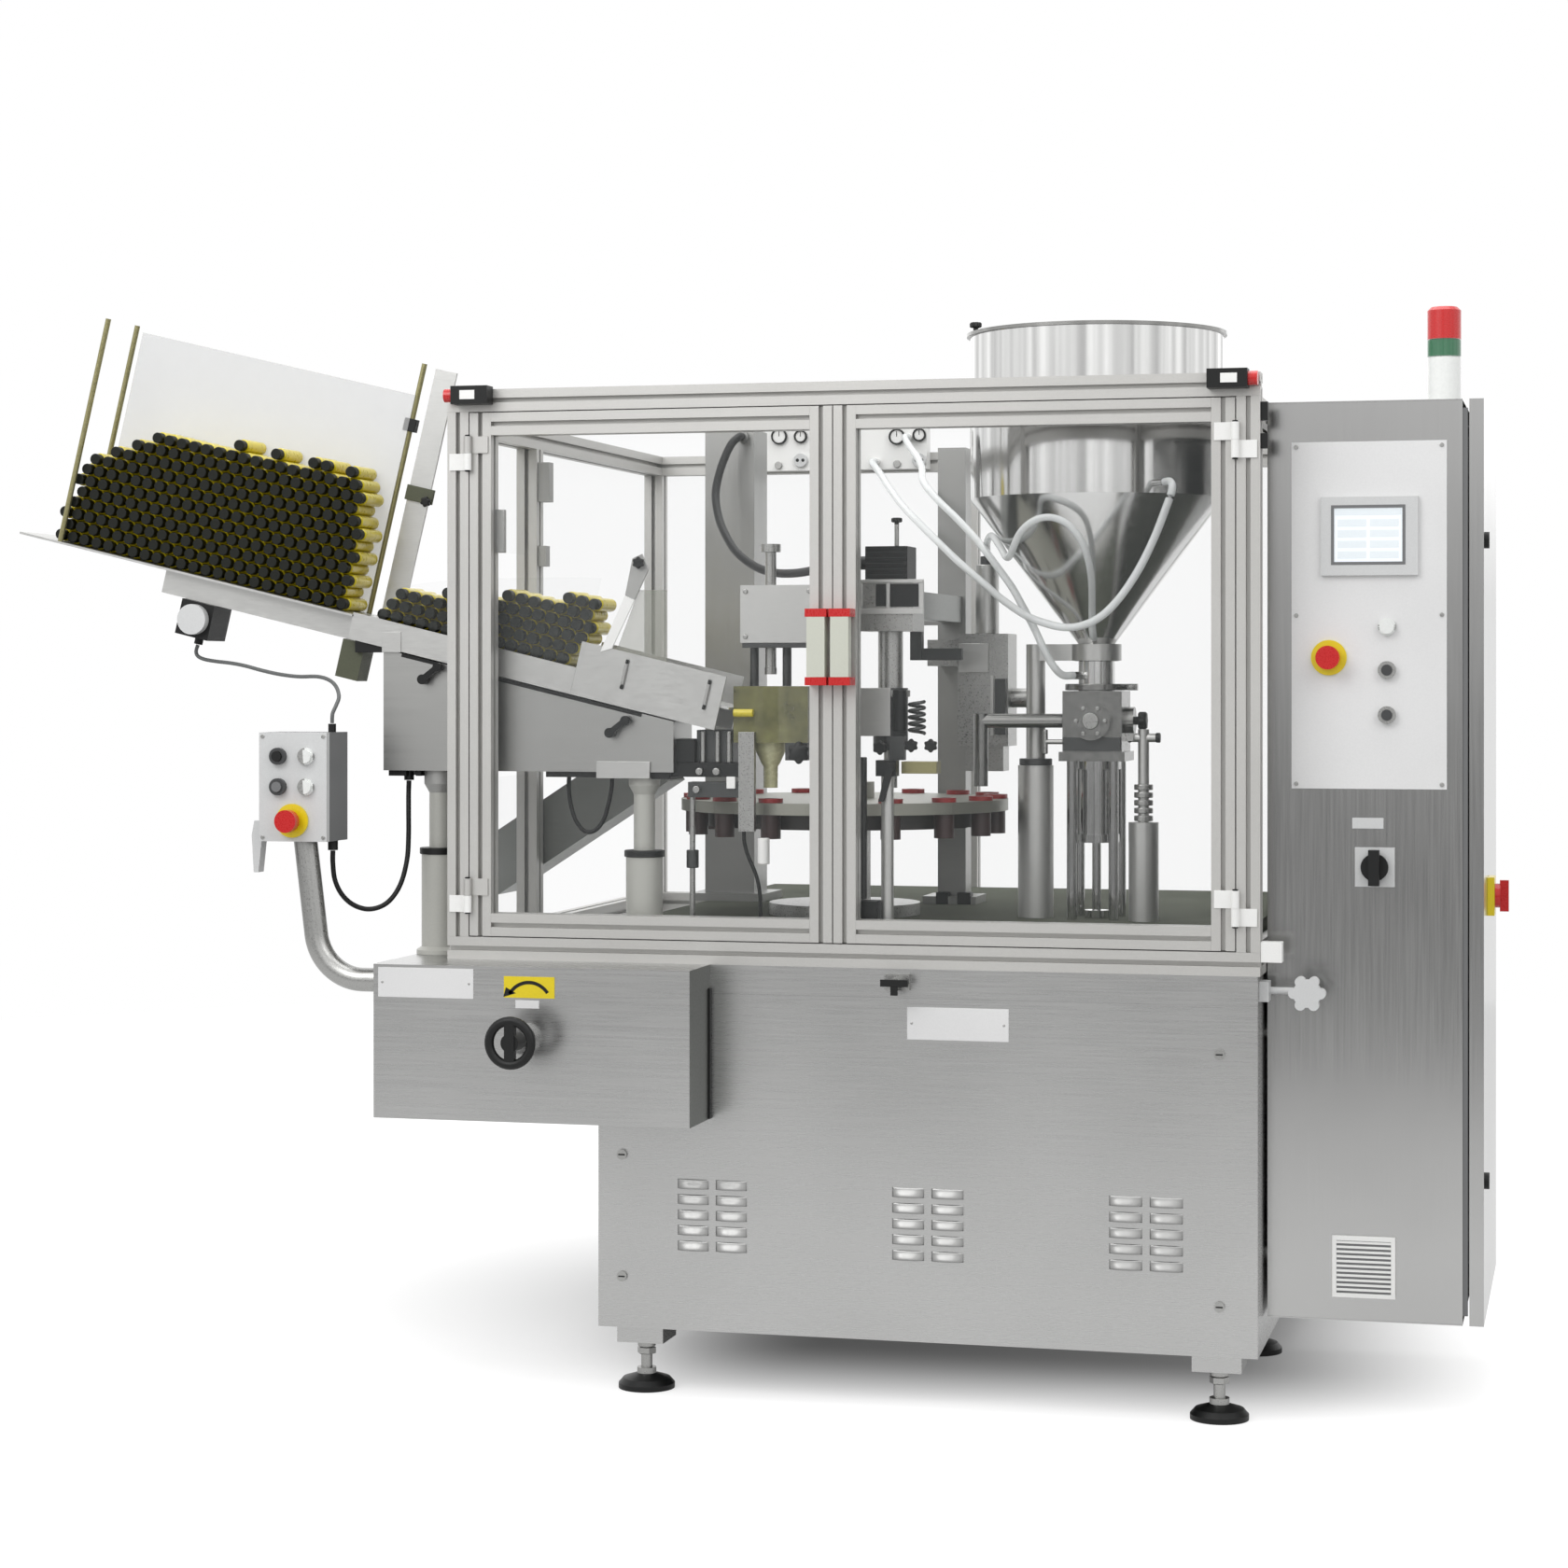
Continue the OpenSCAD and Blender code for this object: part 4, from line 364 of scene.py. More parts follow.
class Piece:
    """Gathers patches of one piece in millimetres and puts them into a mesh in one go."""

    def __init__(self, name: str, place: Place = DATUM.place) -> None:
        """Starts an empty piece.

        Args:
            name: Name of the object.
            place: Turns the patches' places into metres in the shared frame.
        """
        self.name = name
        self.place = place
        self.count = 0
        self.points: list[Array] = []
        self.faces: list[tuple[Array, int, bool]] = []

    def patch(self, points: Array, faces: Sequence[Array], finish: int = 0, smooth: bool = False,
              flats: Sequence[Array] = ()) -> None:
        """Adds points and faces.

        Args:
            points: Places, one row each.
            faces: Arrays of point numbers, each array with faces of one size.
            finish: Number of the finish in the list given to build.
            smooth: True for a round surface.
            flats: More faces on the same points that stay flat.
        """
        points = np.asarray(points, float).reshape(-1, 3)
        for group, rounded in ((faces, smooth), (flats, False)):
            for block in group:
                self.faces.append((np.asarray(block) + self.count, finish, rounded))
        self.points.append(self.place(points))
        self.count += len(points)

    def box(self, low: Sequence[float], high: Sequence[float], finish: int = 0) -> None:
        """Adds a box between two corners."""
        x, y, z = np.meshgrid(*zip(low, high), indexing="ij")
        points = np.column_stack([x.ravel(), y.ravel(), z.ravel()])
        quads = np.array([[0, 1, 3, 2], [4, 6, 7, 5], [0, 4, 5, 1], [2, 3, 7, 6], [0, 2, 6, 4], [1, 5, 7, 3]])
        self.patch(points, [quads], finish)

    def prism(self, outline: Sequence[Sequence[float]], y0: float, y1: float, finish: int = 0) -> None:
        """Adds a plate: an outline of (x, z), counter-clockwise from the front, carried from y0 to y1."""
        x, z = np.asarray(outline, float).T
        count = len(x)
        points = np.concatenate([np.column_stack([x, np.full(count, y), z]) for y in (y0, y1)])
        i = np.arange(count)
        k = (i + 1) % count
        sides = np.column_stack([i, i + count, k + count, k])
        self.patch(points, [sides, i[None], i[None, ::-1] + count], finish)

    def rings(self, at: Sequence[float], profile: Sequence[Sequence[float]], axis: Axis, sides: int,
              lobes: int = 0, dip: float = 0.0) -> Array:
        """Points of a profile of (radius, distance along) carried round an axis.

        Args:
            at: Place of the profile's zero point.
            profile: Radius and distance along the axis.
            axis: Axis of the turning.
            sides: Points round the axis.
            lobes: Number of lobes round a grip, or 0.
            dip: Share of the radius that the hollows between lobes lose.

        Returns:
            Places, one ring for each profile point.
        """
        across, up, along = np.array(axis.value, float)
        r, h = np.asarray(profile, float).T
        turn = np.arange(sides) * 2 * np.pi / sides
        swell = 1 - dip * (0.5 - 0.5 * np.cos(lobes * turn))
        ring = (swell * np.cos(turn))[:, None] * across + (swell * np.sin(turn))[:, None] * up
        return np.asarray(at, float) + r[:, None, None] * ring + h[:, None, None] * along

    def turned(self, at: Sequence[float], profile: Sequence[Sequence[float]], axis: Axis = Axis.Z,
               finish: int = 0, sides: int = 32, lobes: int = 0, dip: float = 0.0) -> None:
        """Adds a turned shape with flat ends; see rings for its sizes, with distances that only grow."""
        points = self.rings(at, profile, axis, sides, lobes, dip)
        last = (len(profile) - 1) * sides
        ends = [np.arange(sides)[None, ::-1], last + np.arange(sides)[None]]
        self.patch(points, [grid_faces(len(profile), sides, True)], finish, True, ends)

    def hoop(self, at: Sequence[float], inner: float, outer: float, height: float, axis: Axis = Axis.Z,
             finish: int = 0) -> None:
        """Adds a ring with a hole and small chamfers on its outer edges."""
        sides = 36
        edge = min(1.0, height / 4)
        profile = [(inner, 0), (outer - edge, 0), (outer, edge), (outer, height - edge), (outer - edge, height),
                   (inner, height)]
        points = self.rings(at, profile, axis, sides)
        self.patch(points, [grid_faces(len(profile), sides, True, True)], finish, True)

    def knob(self, at: Sequence[float], axis: Axis, length: float, d: float, finish: int = 0) -> None:
        """Adds a lobed grip on a short neck; a length below zero points it the other way."""
        r, size = d / 2, abs(length)
        neck, grip = (0.0, 0.3) if length > 0 else (-0.3, -1.0)
        along = size * np.array(axis.value[2], float)
        self.turned(at + neck * along, [(0.42 * r, 0), (0.42 * r, 0.3 * size)], axis, finish, 20)
        profile = [(0.8 * r, 0), (r, 0.12 * size), (r, 0.55 * size), (0.8 * r, 0.7 * size)]
        self.turned(at + grip * along, profile, axis, finish, 48, 6, 0.22)

    def rod(self, start: Sequence[float], axis: Axis, length: float, d: float, finish: int = 0) -> None:
        """Adds a round rod with small chamfers at both ends."""
        r = d / 2
        edge = min(1.0, r / 2, length / 3)
        self.turned(start, [(r - edge, 0), (r, edge), (r, length - edge), (r - edge, length)], axis, finish, 28)

    def tube(self, path: Array, d: float, finish: int, sides: int) -> None:
        """Adds a round tube along a path; its rings stand square to the path and don't twist.

        Args:
            path: Points of the centre line.
            d: Outer diameter.
            finish: Number of the finish.
            sides: Points round the tube.
        """
        path = np.asarray(path, float)
        ahead = np.gradient(path, axis=0)
        ahead /= np.linalg.norm(ahead, axis=1)[:, None]
        side = np.cross(ahead, ASKEW)
        side /= np.linalg.norm(side, axis=1)[:, None]
        other = np.cross(ahead, side)
        turn = np.arange(sides) * 2 * np.pi / sides
        ring = np.cos(turn)[None, :, None] * side[:, None] + np.sin(turn)[None, :, None] * other[:, None]
        points = path[:, None] + d / 2 * ring
        last = (len(path) - 1) * sides
        ends = [np.arange(sides)[None, ::-1], last + np.arange(sides)[None]]
        self.patch(points, [grid_faces(len(path), sides, True), *ends], finish, True)

    def copies(self, points: Array, faces: Sequence[Array], places: Array, finish: int, smooth: bool) -> None:
        """Adds a copy of a small shape at each of several places."""
        count = len(points)
        offsets = count * np.arange(len(places))
        spread = [(np.asarray(f)[None] + offsets[:, None, None]).reshape(-1, f.shape[1]) for f in faces]
        self.patch((places[:, None] + points[None]).reshape(-1, 3), spread, finish, smooth)

    def build(self, finishes: Sequence[Finish], body: str, slot: str, bevel_mm: float = 0.0,
              replaces: Sequence[str] = ()) -> bpy.types.Object:
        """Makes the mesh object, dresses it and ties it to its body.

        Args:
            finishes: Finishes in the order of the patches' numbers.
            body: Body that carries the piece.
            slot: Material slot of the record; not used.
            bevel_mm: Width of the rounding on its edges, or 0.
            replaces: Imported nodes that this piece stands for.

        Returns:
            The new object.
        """
        mesh = bpy.data.meshes.new(self.name)
        points = np.vstack(self.points)
        sizes = np.concatenate([np.full(len(f), f.shape[1]) for f, _, _ in self.faces])
        loops = np.concatenate([f.ravel() for f, _, _ in self.faces])
        mesh.vertices.add(len(points))
        mesh.vertices.foreach_set("co", points.ravel())
        mesh.loops.add(len(loops))
        mesh.loops.foreach_set("vertex_index", loops.astype(np.int32))
        mesh.polygons.add(len(sizes))
        mesh.polygons.foreach_set("loop_start", np.concatenate([[0], np.cumsum(sizes)[:-1]]).astype(np.int32))
        numbers = np.concatenate([np.full(len(f), n) for f, n, _ in self.faces])
        rounds = np.concatenate([np.full(len(f), s) for f, _, s in self.faces])
        mesh.polygons.foreach_set("material_index", numbers.astype(np.int32))
        mesh.polygons.foreach_set("use_smooth", rounds.astype(bool))
        mesh.update(calc_edges=True)
        mesh.validate()
        mesh.set_sharp_from_angle(angle=SHARP_EDGE)
        for finish in finishes:
            mesh.materials.append(finish.material())
        made = bpy.data.objects.new(self.name, mesh)
        bpy.context.scene.collection.objects.link(made)
        if bevel_mm:
            rounding = made.modifiers.new("edge_rounding", "BEVEL")
            rounding.width = bevel_mm * MM
            rounding.segments = 2
            rounding.limit_method = "ANGLE"
            rounding.angle_limit = ROUNDED_EDGE
        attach(made, body)
        if replaces:
            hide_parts(*replaces)
        log.info("%s: %d points, %d faces on %s", self.name, len(points), len(sizes), body)
        return made


Region = tuple[Sequence[float], Sequence[float], Finish]
FAR = 9000.0


@dataclass(frozen=True)
class PackedFinish:
    """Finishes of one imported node: one for the whole, and others inside boxes given in millimetres.

    Unplace turns metres in the shared frame into the places that the boxes are given in.
    """

    node: str
    whole: Finish
    regions: Sequence[Region] = ()
    unplace: Place = DATUM.unplace

    def dress(self) -> None:
        """Gives each face of the node the finish of the last box that holds its middle."""
        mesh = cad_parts[self.node].data
        mesh.materials.clear()
        mesh.materials.append(self.whole.material())
        middles = np.zeros(len(mesh.polygons) * 3)
        mesh.polygons.foreach_get("center", middles)
        middles = self.unplace(middles.reshape(-1, 3))
        numbers = np.zeros(len(mesh.polygons), np.int32)
        for number, (low, high, finish) in enumerate(self.regions, 1):
            mesh.materials.append(finish.material())
            inside = np.all((middles >= low) & (middles <= high), axis=1)
            numbers[inside] = number
        mesh.polygons.foreach_set("material_index", numbers)
        mesh.update()
        log.info("%s: dressed with %d finishes", self.node, 1 + len(self.regions))


def beyond(finish: Finish, x: Pair = (-FAR, FAR), y: Pair = (-FAR, FAR), z: Pair = (-FAR, FAR)) -> Region:
    """A finish inside a box that is open on the axes left out."""
    return [x[0], y[0], z[0]], [x[1], y[1], z[1]], finish


@dataclass
class SolidDressing:
    """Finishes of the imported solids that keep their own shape."""

    handle_ends: Sequence[Pair] = ((1244, 1259.1), (1362.9, 1378))
    handle_grip: Pair = (1259.1, 1362.9)
    stile_ends: Sequence[Pair] = ((798, 839.1), (1688.9, 1730))
    plain: Sequence[tuple[Finish, Sequence[str]]] = (
        (BRUSHED_SHEET, ("base_frame", "base_panels")),
        (MACHINED, ("panel_locks", "pendant_arm", "turret_pedestal", "camshaft", "insertion_pusher")),
        (ANODISED, ("guard_profiles",)),
        (WHITE_PLASTIC, ("door_hinges",)),
        (CLEAR_SHEET, ("left_door_pane", "right_door_pane")),
        (BLACK_PLASTIC, ("pendant_start_button", "mode_switch_knob", "chute_lever_left", "chute_lever_right")),
        (DARK_PLASTIC, ("pendant_stop_button",)),
        (RED_PLASTIC, ("pendant_estop", "panel_estop", "isolator_knob")),
        (WHITE_COAT, ("control_panel",)),
        (CHARCOAL_PLASTIC, ("panel_start_button", "panel_reset_button")),
        (GREY_COAT, ("index_drive",)),
        (DARK_STEEL, ("drive_chain",)),
        (COLUMN_STEEL, ("station_columns",)),
        (VALVE_STEEL, ("dosing_valve",)),
        (POLISHED, ("dosing_cylinder", "dosing_piston")),
        (BRIGHT_PLATE, ("filler_columns",)),
        (WORN_AND_SHADED_SHEET, ("discharge_chute",)))

    def door(self, node: str, hinge_x: Pair, leaf: Finish = WHITE_PLASTIC) -> PackedFinish:
        """Finishes of a door frame.

        Args:
            node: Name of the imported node.
            hinge_x: Span in x of its hinge leaves.
            leaf: Finish of the hinge leaves.

        Returns:
            Profiles, hinge leaves, red handle ends and a pale grip.
        """
        regions = [beyond(leaf, y=(-FAR, -0.1), x=hinge_x)]
        regions += [beyond(RED_PLASTIC, y=(-FAR, -0.1), x=(-200, -110), z=z) for z in self.handle_ends]
        regions.append(beyond(GRIP_PLASTIC, y=(-FAR, -1), x=(-200, -110), z=self.handle_grip))
        regions += [beyond(CAST_CAP, y=(-0.1, FAR), x=(-195.2, -113), z=z) for z in self.stile_ends]
        return PackedFinish(node, ANODISED, regions)

    def all(self) -> list[PackedFinish]:
        """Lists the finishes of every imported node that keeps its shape."""
        return [PackedFinish(node, finish) for finish, nodes in self.plain for node in nodes] + [
            PackedFinish("levelling_feet", MACHINED, [beyond(BLACK_PLASTIC, z=(-1, 26.5))]),
            PackedFinish("table_top", BRUSHED_SHEET, [beyond(TABLE_PLATE, z=(758, 900))]),
            PackedFinish("clear_panes", CLEAR_SHEET, [beyond(FROSTED_SHEET, x=(-FAR, -900))]),
            PackedFinish("interlock_switches", BLACK_PLASTIC,
                         [beyond(RED_PLASTIC, x=(-FAR, -842.1)), beyond(RED_PLASTIC, x=(564.1, FAR))]),
            self.door("left_door_frame", (-900, -770), ANODISED),
            self.door("right_door_frame", (495, 600)),
            # Painted shade: the handwheel box's right side takes the darker worn sheet, as that face lies in shade.
            PackedFinish("handwheel_box", BRUSHED_SHEET, [beyond(WORN_AND_SHADED_SHEET, x=(-376, FAR))]),
            PackedFinish("handwheel", BLACK_PLASTIC, [beyond(MACHINED, y=(-150, FAR))]),
            PackedFinish("pendant_box", DARK_PLASTIC, [beyond(GREY_PLASTIC, y=(-FAR, -95.6))]),
            PackedFinish("control_fittings", MACHINED,
                         [beyond(CLEAR_LENS, x=(-1085, -1070), y=(-FAR, -100)),
                          beyond(CHARCOAL_PLASTIC, x=(-1165, -1100), y=(-FAR, -100), z=(1045, 1150)),
                          beyond(YELLOW_PLASTIC, x=(-1145, -1070), y=(-FAR, -100), z=(970, 1040)),
                          beyond(YELLOW_PLASTIC, x=(650, 725), z=(1255, 1330)),
                          beyond(CLEAR_LENS, x=(772, 798), z=(1325, 1365)),
                          beyond(GREY_PLASTIC, x=(700, 820), z=(900, 975)),
                          beyond(GREY_PLASTIC, x=(700, 820), z=(1000, 1030)),
                          beyond(BLACK_PLASTIC, x=(-1090, -900), y=(-99, FAR))]),
            PackedFinish("cabinet_body", UPRIGHT_SHEET, [beyond(WHITE_PLASTIC, y=(-FAR, 99.9), z=(200, 320))]),
            PackedFinish("cabinet_door", UPRIGHT_SHEET,
                         [([945.1, 260, 840], [960, 340, 920], YELLOW_PLASTIC),
                          beyond(BLACK_PLASTIC, x=(945.1, FAR), y=(100, 160))]),
            PackedFinish("electrical_plate", ZINC_PLATE, [beyond(GREY_COAT, x=(609.1, FAR))]),
            PackedFinish("hmi", GREY_PLASTIC, [beyond(SCREEN, y=(91.5, 91.9), x=(696, 812))]),
            PackedFinish("stack_light", WHITE_PLASTIC,
                         [beyond(CLEAR_LENS, z=(1735.3, 1815)), beyond(GREEN_LENS, z=(1816, 1847)),
                          beyond(RED_PLASTIC, z=(1847.1, FAR))]),
            # The dark brown ring under the disc is partly painted shade: it fills the shaded band between the hanging
            # holders.
            PackedFinish("turret_disc", RING_STEEL, [beyond(SHADED_BROWN_RESIN, z=(980, 1013.9))]),
            # Painted shade: the holders' bodies are a dark maroon copy of their red, which stays at their rims.
            PackedFinish("tube_holders", SHADED_RED_RESIN, [beyond(RED_RESIN, z=(1035.1, FAR)),
                                                        beyond(RED_RESIN, z=(-FAR, 974))]),
            PackedFinish("insertion_head", BRIGHT_PLATE, [beyond(GUIDE_RESIN, z=(1142, 1243.1)),
                                                          beyond(DARK_STEEL, z=(1243.15, 1319.9))]),
            PackedFinish("station_heads", MACHINED,
                         [beyond(BLACK_PLASTIC, z=(1430.1, FAR)),
                          beyond(WORN_AND_SHADED_SHEET, y=(219.6, 723), z=(1359, 1421)),
                          beyond(DARK_STEEL, y=(130, 205), z=(1129, 1240.1)),
                          beyond(BLACK_PLASTIC, y=(60, 95), z=(1085, 1120)),
                          beyond(BRIGHT_PLATE, y=(60, 95), z=(815, 1085))]),
            PackedFinish("hopper", POLISHED, [beyond(VALVE_STEEL, z=(1877.5, FAR)),
                                              beyond(SPUN_SHEET, z=(-FAR, 1588))]),
            PackedFinish("magazine_tray", BRIGHT_PLATE,
                         [([30, 57, 5], [60, 70, 440], OLD_BRASS), ([30, 179, 5], [60, 193, 440], OLD_BRASS),
                          ([610, 179, 5], [632, 193, 500], OLD_BRASS),
                          ([298, 75.9, -140], [368, 160, -48.1], BLACK_PLASTIC),
                          ([298, 50, -120], [368, 75.9, -40], GREY_PLASTIC),
                          ([624, 70, -125], [672, 130, -48.1], OLIVE_PAINT)], LINE.unplace),
            PackedFinish("chute_body", BRIGHT_PLATE, [beyond(HOUSING_SHEET, z=(-FAR, -47))], LINE.unplace),
            PackedFinish("chute_legs", LEG_COAT, [beyond(CAST_CAP, x=(-FAR, -800), z=(1042, FAR))]),
            PackedFinish("air_supply", GREY_PLASTIC, [beyond(WHITE_PLASTIC, y=(1000, FAR))]),
        ]

    def build(self) -> None:
        """Dresses every listed node and keeps the stack light out of mirrors."""
        for finish in self.all():
            finish.dress()
        # The hopper would mirror the lamps of the stack light as a red streak.
        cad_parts["stack_light"].visible_glossy = False


@dataclass
class TubeLoad:
    """Loose tubes in the magazine and the chute, packed in rows with their caps to the front.

    Snug is the share of a radius that a tube keeps from the outline, and thinned the share of the top row left out.
    """

    d: float = 25.0
    length: float = 106.0
    front: float = 70.0
    cap_l: float = 19.0
    stack: Sequence[Pair] = ((8, 0), (40, 160), (158, 235), (266, 262), (612, 268), (634, 0))
    feed: Sequence[Pair] = ((666, 0), (676, 64), (1108, 152), (1072, 0))
    seed: int = 5
    sides: int = 14
    snug: float = 0.92
    thinned: float = 0.45
    cap_inset: float = 2.0
    slack: float = 0.4
    uneven: float = 3.0

    def rows(self, outline: Sequence[Pair]) -> Array:
        """Middles of tubes in close-packed rows inside an outline.

        Args:
            outline: Corners (u, w) of the space that the tubes fill.

        Returns:
            An array of (u, w).
        """
        corners = np.asarray(outline, float)
        r = self.d / 2
        rise = self.d * math.sqrt(3) / 2
        levels = np.arange(r, corners[:, 1].max(), rise)
        steps = np.arange(corners[:, 0].min(), corners[:, 0].max(), self.d)
        u = (steps[None, :] + r * (np.arange(len(levels)) % 2)[:, None]).ravel()
        w = np.repeat(levels, len(steps))
        following = np.roll(corners, -1, axis=0)
        edge = following - corners
        inward = edge[:, 0, None] * (w - corners[:, 1, None]) - edge[:, 1, None] * (u - corners[:, 0, None])
        clear = -inward / np.linalg.norm(edge, axis=1)[:, None]
        return np.column_stack([u, w])[np.all(clear >= r * self.snug, axis=0)]

    def build(self) -> None:
        """Builds the caps and the bodies of all the tubes as one piece in place of the plain load."""
        rng = np.random.default_rng(self.seed)
        stacked = self.rows(self.stack)
        fed = self.rows(self.feed)
        middles = np.vstack([stacked, fed])
        top = stacked[:, 1] > stacked[:, 1].max() - self.d / 2
        keep = np.ones(len(middles), bool)
        keep[:len(stacked)] = ~(top & (rng.random(len(stacked)) < self.thinned))
        middles = middles[keep]
        depth = self.front + 1 + rng.uniform(0, self.uneven, len(middles))
        places = np.column_stack([middles[:, 0], depth, middles[:, 1]])
        r = self.d / 2 - self.slack
        cap = r - self.cap_inset
        sides = self.sides
        turn = np.arange(sides) * 2 * np.pi / sides
        ring = np.column_stack([np.cos(turn), np.zeros(sides), np.sin(turn)])
        piece = Piece("loose_tubes", LINE.place)
        shapes = (([(cap - 1.2, 0.8), (cap, 1.8), (cap, self.cap_l)], 1),
                  ([(cap - 0.6, self.cap_l), (r, self.cap_l + 3), (r, self.length - 5)], 0))
        for profile, finish in shapes:
            radius, along = np.asarray(profile, float).T
            points = radius[:, None, None] * ring + along[:, None, None] * np.array([0, 1, 0])
            quads = grid_faces(len(radius), sides, True)[:, ::-1]
            ends = [np.arange(sides)[None], (len(radius) - 1) * sides + np.arange(sides)[None, ::-1]]
            piece.copies(points.reshape(-1, 3), [quads, *ends], places, finish, True)
        piece.build([TUBE_BODY, TUBE_CAP], "frame", "tube_plastic", replaces=["tube_load"])
        log.info("tubes: %d", len(places))


@dataclass(frozen=True)
class Cord:
    """One cable or hose: its route in millimetres, its diameter and its look."""

    node: str
    route: Sequence[Point]
    d: float
    finish: Finish
    slot: str
    packed: bool = True

    def build(self) -> None:
        """Sweeps the cord along its route and works out its real length."""
        path = smooth_path(self.route, 6)
        piece = Piece(self.node + "_sheath")
        piece.tube(path, self.d, 0, 12)
        made = piece.build([self.finish], "frame", self.slot, replaces=[self.node] if self.packed else [])
        metres = DATUM.place(path)
        length = float(np.linalg.norm(np.diff(metres, axis=0), axis=1).sum())


CORDS = (
    Cord("pendant_cable", (
        (-1064, -35, 949), (-1064, -35, 926), (-1062, -30, 896), (-1053, -20, 870),
        (-1038, -5, 851), (-1017, 10, 842), (-996, 25, 846), (-980, 40, 861),
        (-968, 55, 889), (-962, 68, 930), (-963, 78, 972), (-966, 86, 1014),
        (-969, 94, 1048), (-969, 96, 1071)), 9, BLACK_CABLE, "black_cable"),
    Cord("motor_cable", (
        (-1396, 122, 1319), (-1399, 121, 1307), (-1394, 118, 1298), (-1378, 112, 1292),
        (-1350, 103, 1288), (-1318, 92, 1285), (-1282, 75, 1280), (-1240, 60, 1271),
        (-1199, 45, 1264), (-1157, 30, 1260), (-1114, 14, 1260), (-1085, -2, 1254),
        (-1064, -20, 1242), (-1052, -36, 1224), (-1052, -50, 1208), (-1056, -56, 1194),
        (-1057, -56, 1177)), 7, GREY_CABLE, "grey_cable"),
    Cord("head_hose", (
        (-500, 684, 1730), (-501, 668, 1728), (-512, 646, 1710), (-525, 622, 1664),
        (-528, 596, 1614), (-512, 560, 1566), (-486, 520, 1528), (-453, 480, 1494),
        (-404, 430, 1466), (-355, 380, 1453), (-307, 330, 1450), (-265, 280, 1452),
        (-230, 230, 1456), (-200, 186, 1461), (-174, 168, 1462), (-150, 168, 1462)),
        16, BLACK_CABLE, "black_cable"),
    Cord("hopper_hose", (
        (-340, 1168, 1710), (-340, 1140, 1706), (-304, 1060, 1676), (-260, 960, 1636),
        (-209, 840, 1597), (-152, 720, 1558), (-94, 620, 1517), (-37, 530, 1476),
        (20, 450, 1438), (78, 370, 1399), (135, 290, 1369), (177, 240, 1355),
        (216, 210, 1347), (251, 195, 1350), (286, 185, 1366), (320, 180, 1399),
        (353, 176, 1447), (380, 173, 1500), (400, 171, 1550), (411, 177, 1585),
        (406, 193, 1600), (394, 209, 1601)), 14, CLEAR_HOSE, "clear_hose"),
    Cord("valve_hose", (
        (-270, 1168, 1760), (-270, 1138, 1756), (-240, 1050, 1730), (-205, 950, 1704),
        (-172, 840, 1674), (-148, 740, 1640), (-105, 660, 1602), (-50, 590, 1558),
        (0, 530, 1514), (45, 470, 1468), (85, 420, 1424), (115, 375, 1384),
        (138, 352, 1348), (158, 338, 1310), (175, 337, 1280), (190, 351, 1263),
        (207, 370, 1262)), 14, CLEAR_HOSE, "clear_hose"),
    Cord("outlet_hose", (
        (14.5, 548, 1488), (20, 520, 1512), (44, 440, 1520), (76, 350, 1496), (102, 270, 1474), (120, 215, 1478),
        (140, 190, 1512), (166, 182, 1534), (196, 182, 1540), (226, 186, 1528), (248, 198, 1500), (257, 222, 1466),
        (258, 250, 1437), (254, 285, 1408), (249, 318, 1378), (246, 338, 1352), (245, 352, 1336),
        (244, 372, 1330)), 13, CLEAR_HOSE, "clear_hose", False),
    Cord("sensor_cable", (
        (-671, 120, 1079.5), (-671, 118, 1062), (-668, 116, 1036), (-659, 114, 1006), (-645, 113, 986),
        (-630, 112, 980), (-614, 113, 988), (-602, 114, 1008), (-594, 116, 1038), (-590, 118, 1062),
        (-590, 120, 1079.5)), 8, BLACK_CABLE, "black_cable", False),
    Cord("infeed_hose", (
        (-335, 84, 985.8), (-334, 84, 966), (-328, 84, 944), (-318, 84, 922), (-310, 84, 900),
        (-306, 84, 876), (-305, 84, 848), (-305, 84, 820.5)), 7, BLACK_CABLE, "black_cable", False),
)


Block = tuple[Point, Point, int]
Bar = tuple[Point, Axis, float, float, int]
Ring = tuple[Point, Axis, float, float, float, int]


@dataclass
class SubAssembly:
    """Small fittings of one place on the machine, in millimetres.

    Blocks are two corners and a finish number. Rods and knobs are a start, an axis, a length, a diameter and a
    finish number. Hoops are a start, an axis, an inner and an outer radius, a height and a finish number.
    """

    name: str = ""
    finishes: Sequence[Finish] = ()
    slot: str = "machined_steel"
    body: str = "frame"
    place: Place = DATUM.place
    bevel_mm: float = 1.0
    blocks: Sequence[Block] = ()
    rods: Sequence[Bar] = ()
    knobs: Sequence[Bar] = ()
    hoops: Sequence[Ring] = ()

    def extra(self, piece: Piece) -> None:
        """Adds shapes that are not in the lists; none by default."""

    def build(self) -> None:
        """Builds the fittings as one piece on their body."""
        piece = Piece(self.name, self.place)
        for low, high, finish in self.blocks:
            piece.box(low, high, finish)
        for start, axis, length, d, finish in self.rods:
            piece.rod(start, axis, length, d, finish)
        for start, axis, length, d, finish in self.knobs:
            piece.knob(start, axis, length, d, finish)
        for start, axis, inner, outer, height, finish in self.hoops:
            piece.hoop(start, inner, outer, height, axis, finish)
        self.extra(piece)
        piece.build(self.finishes, self.body, self.slot, self.bevel_mm)


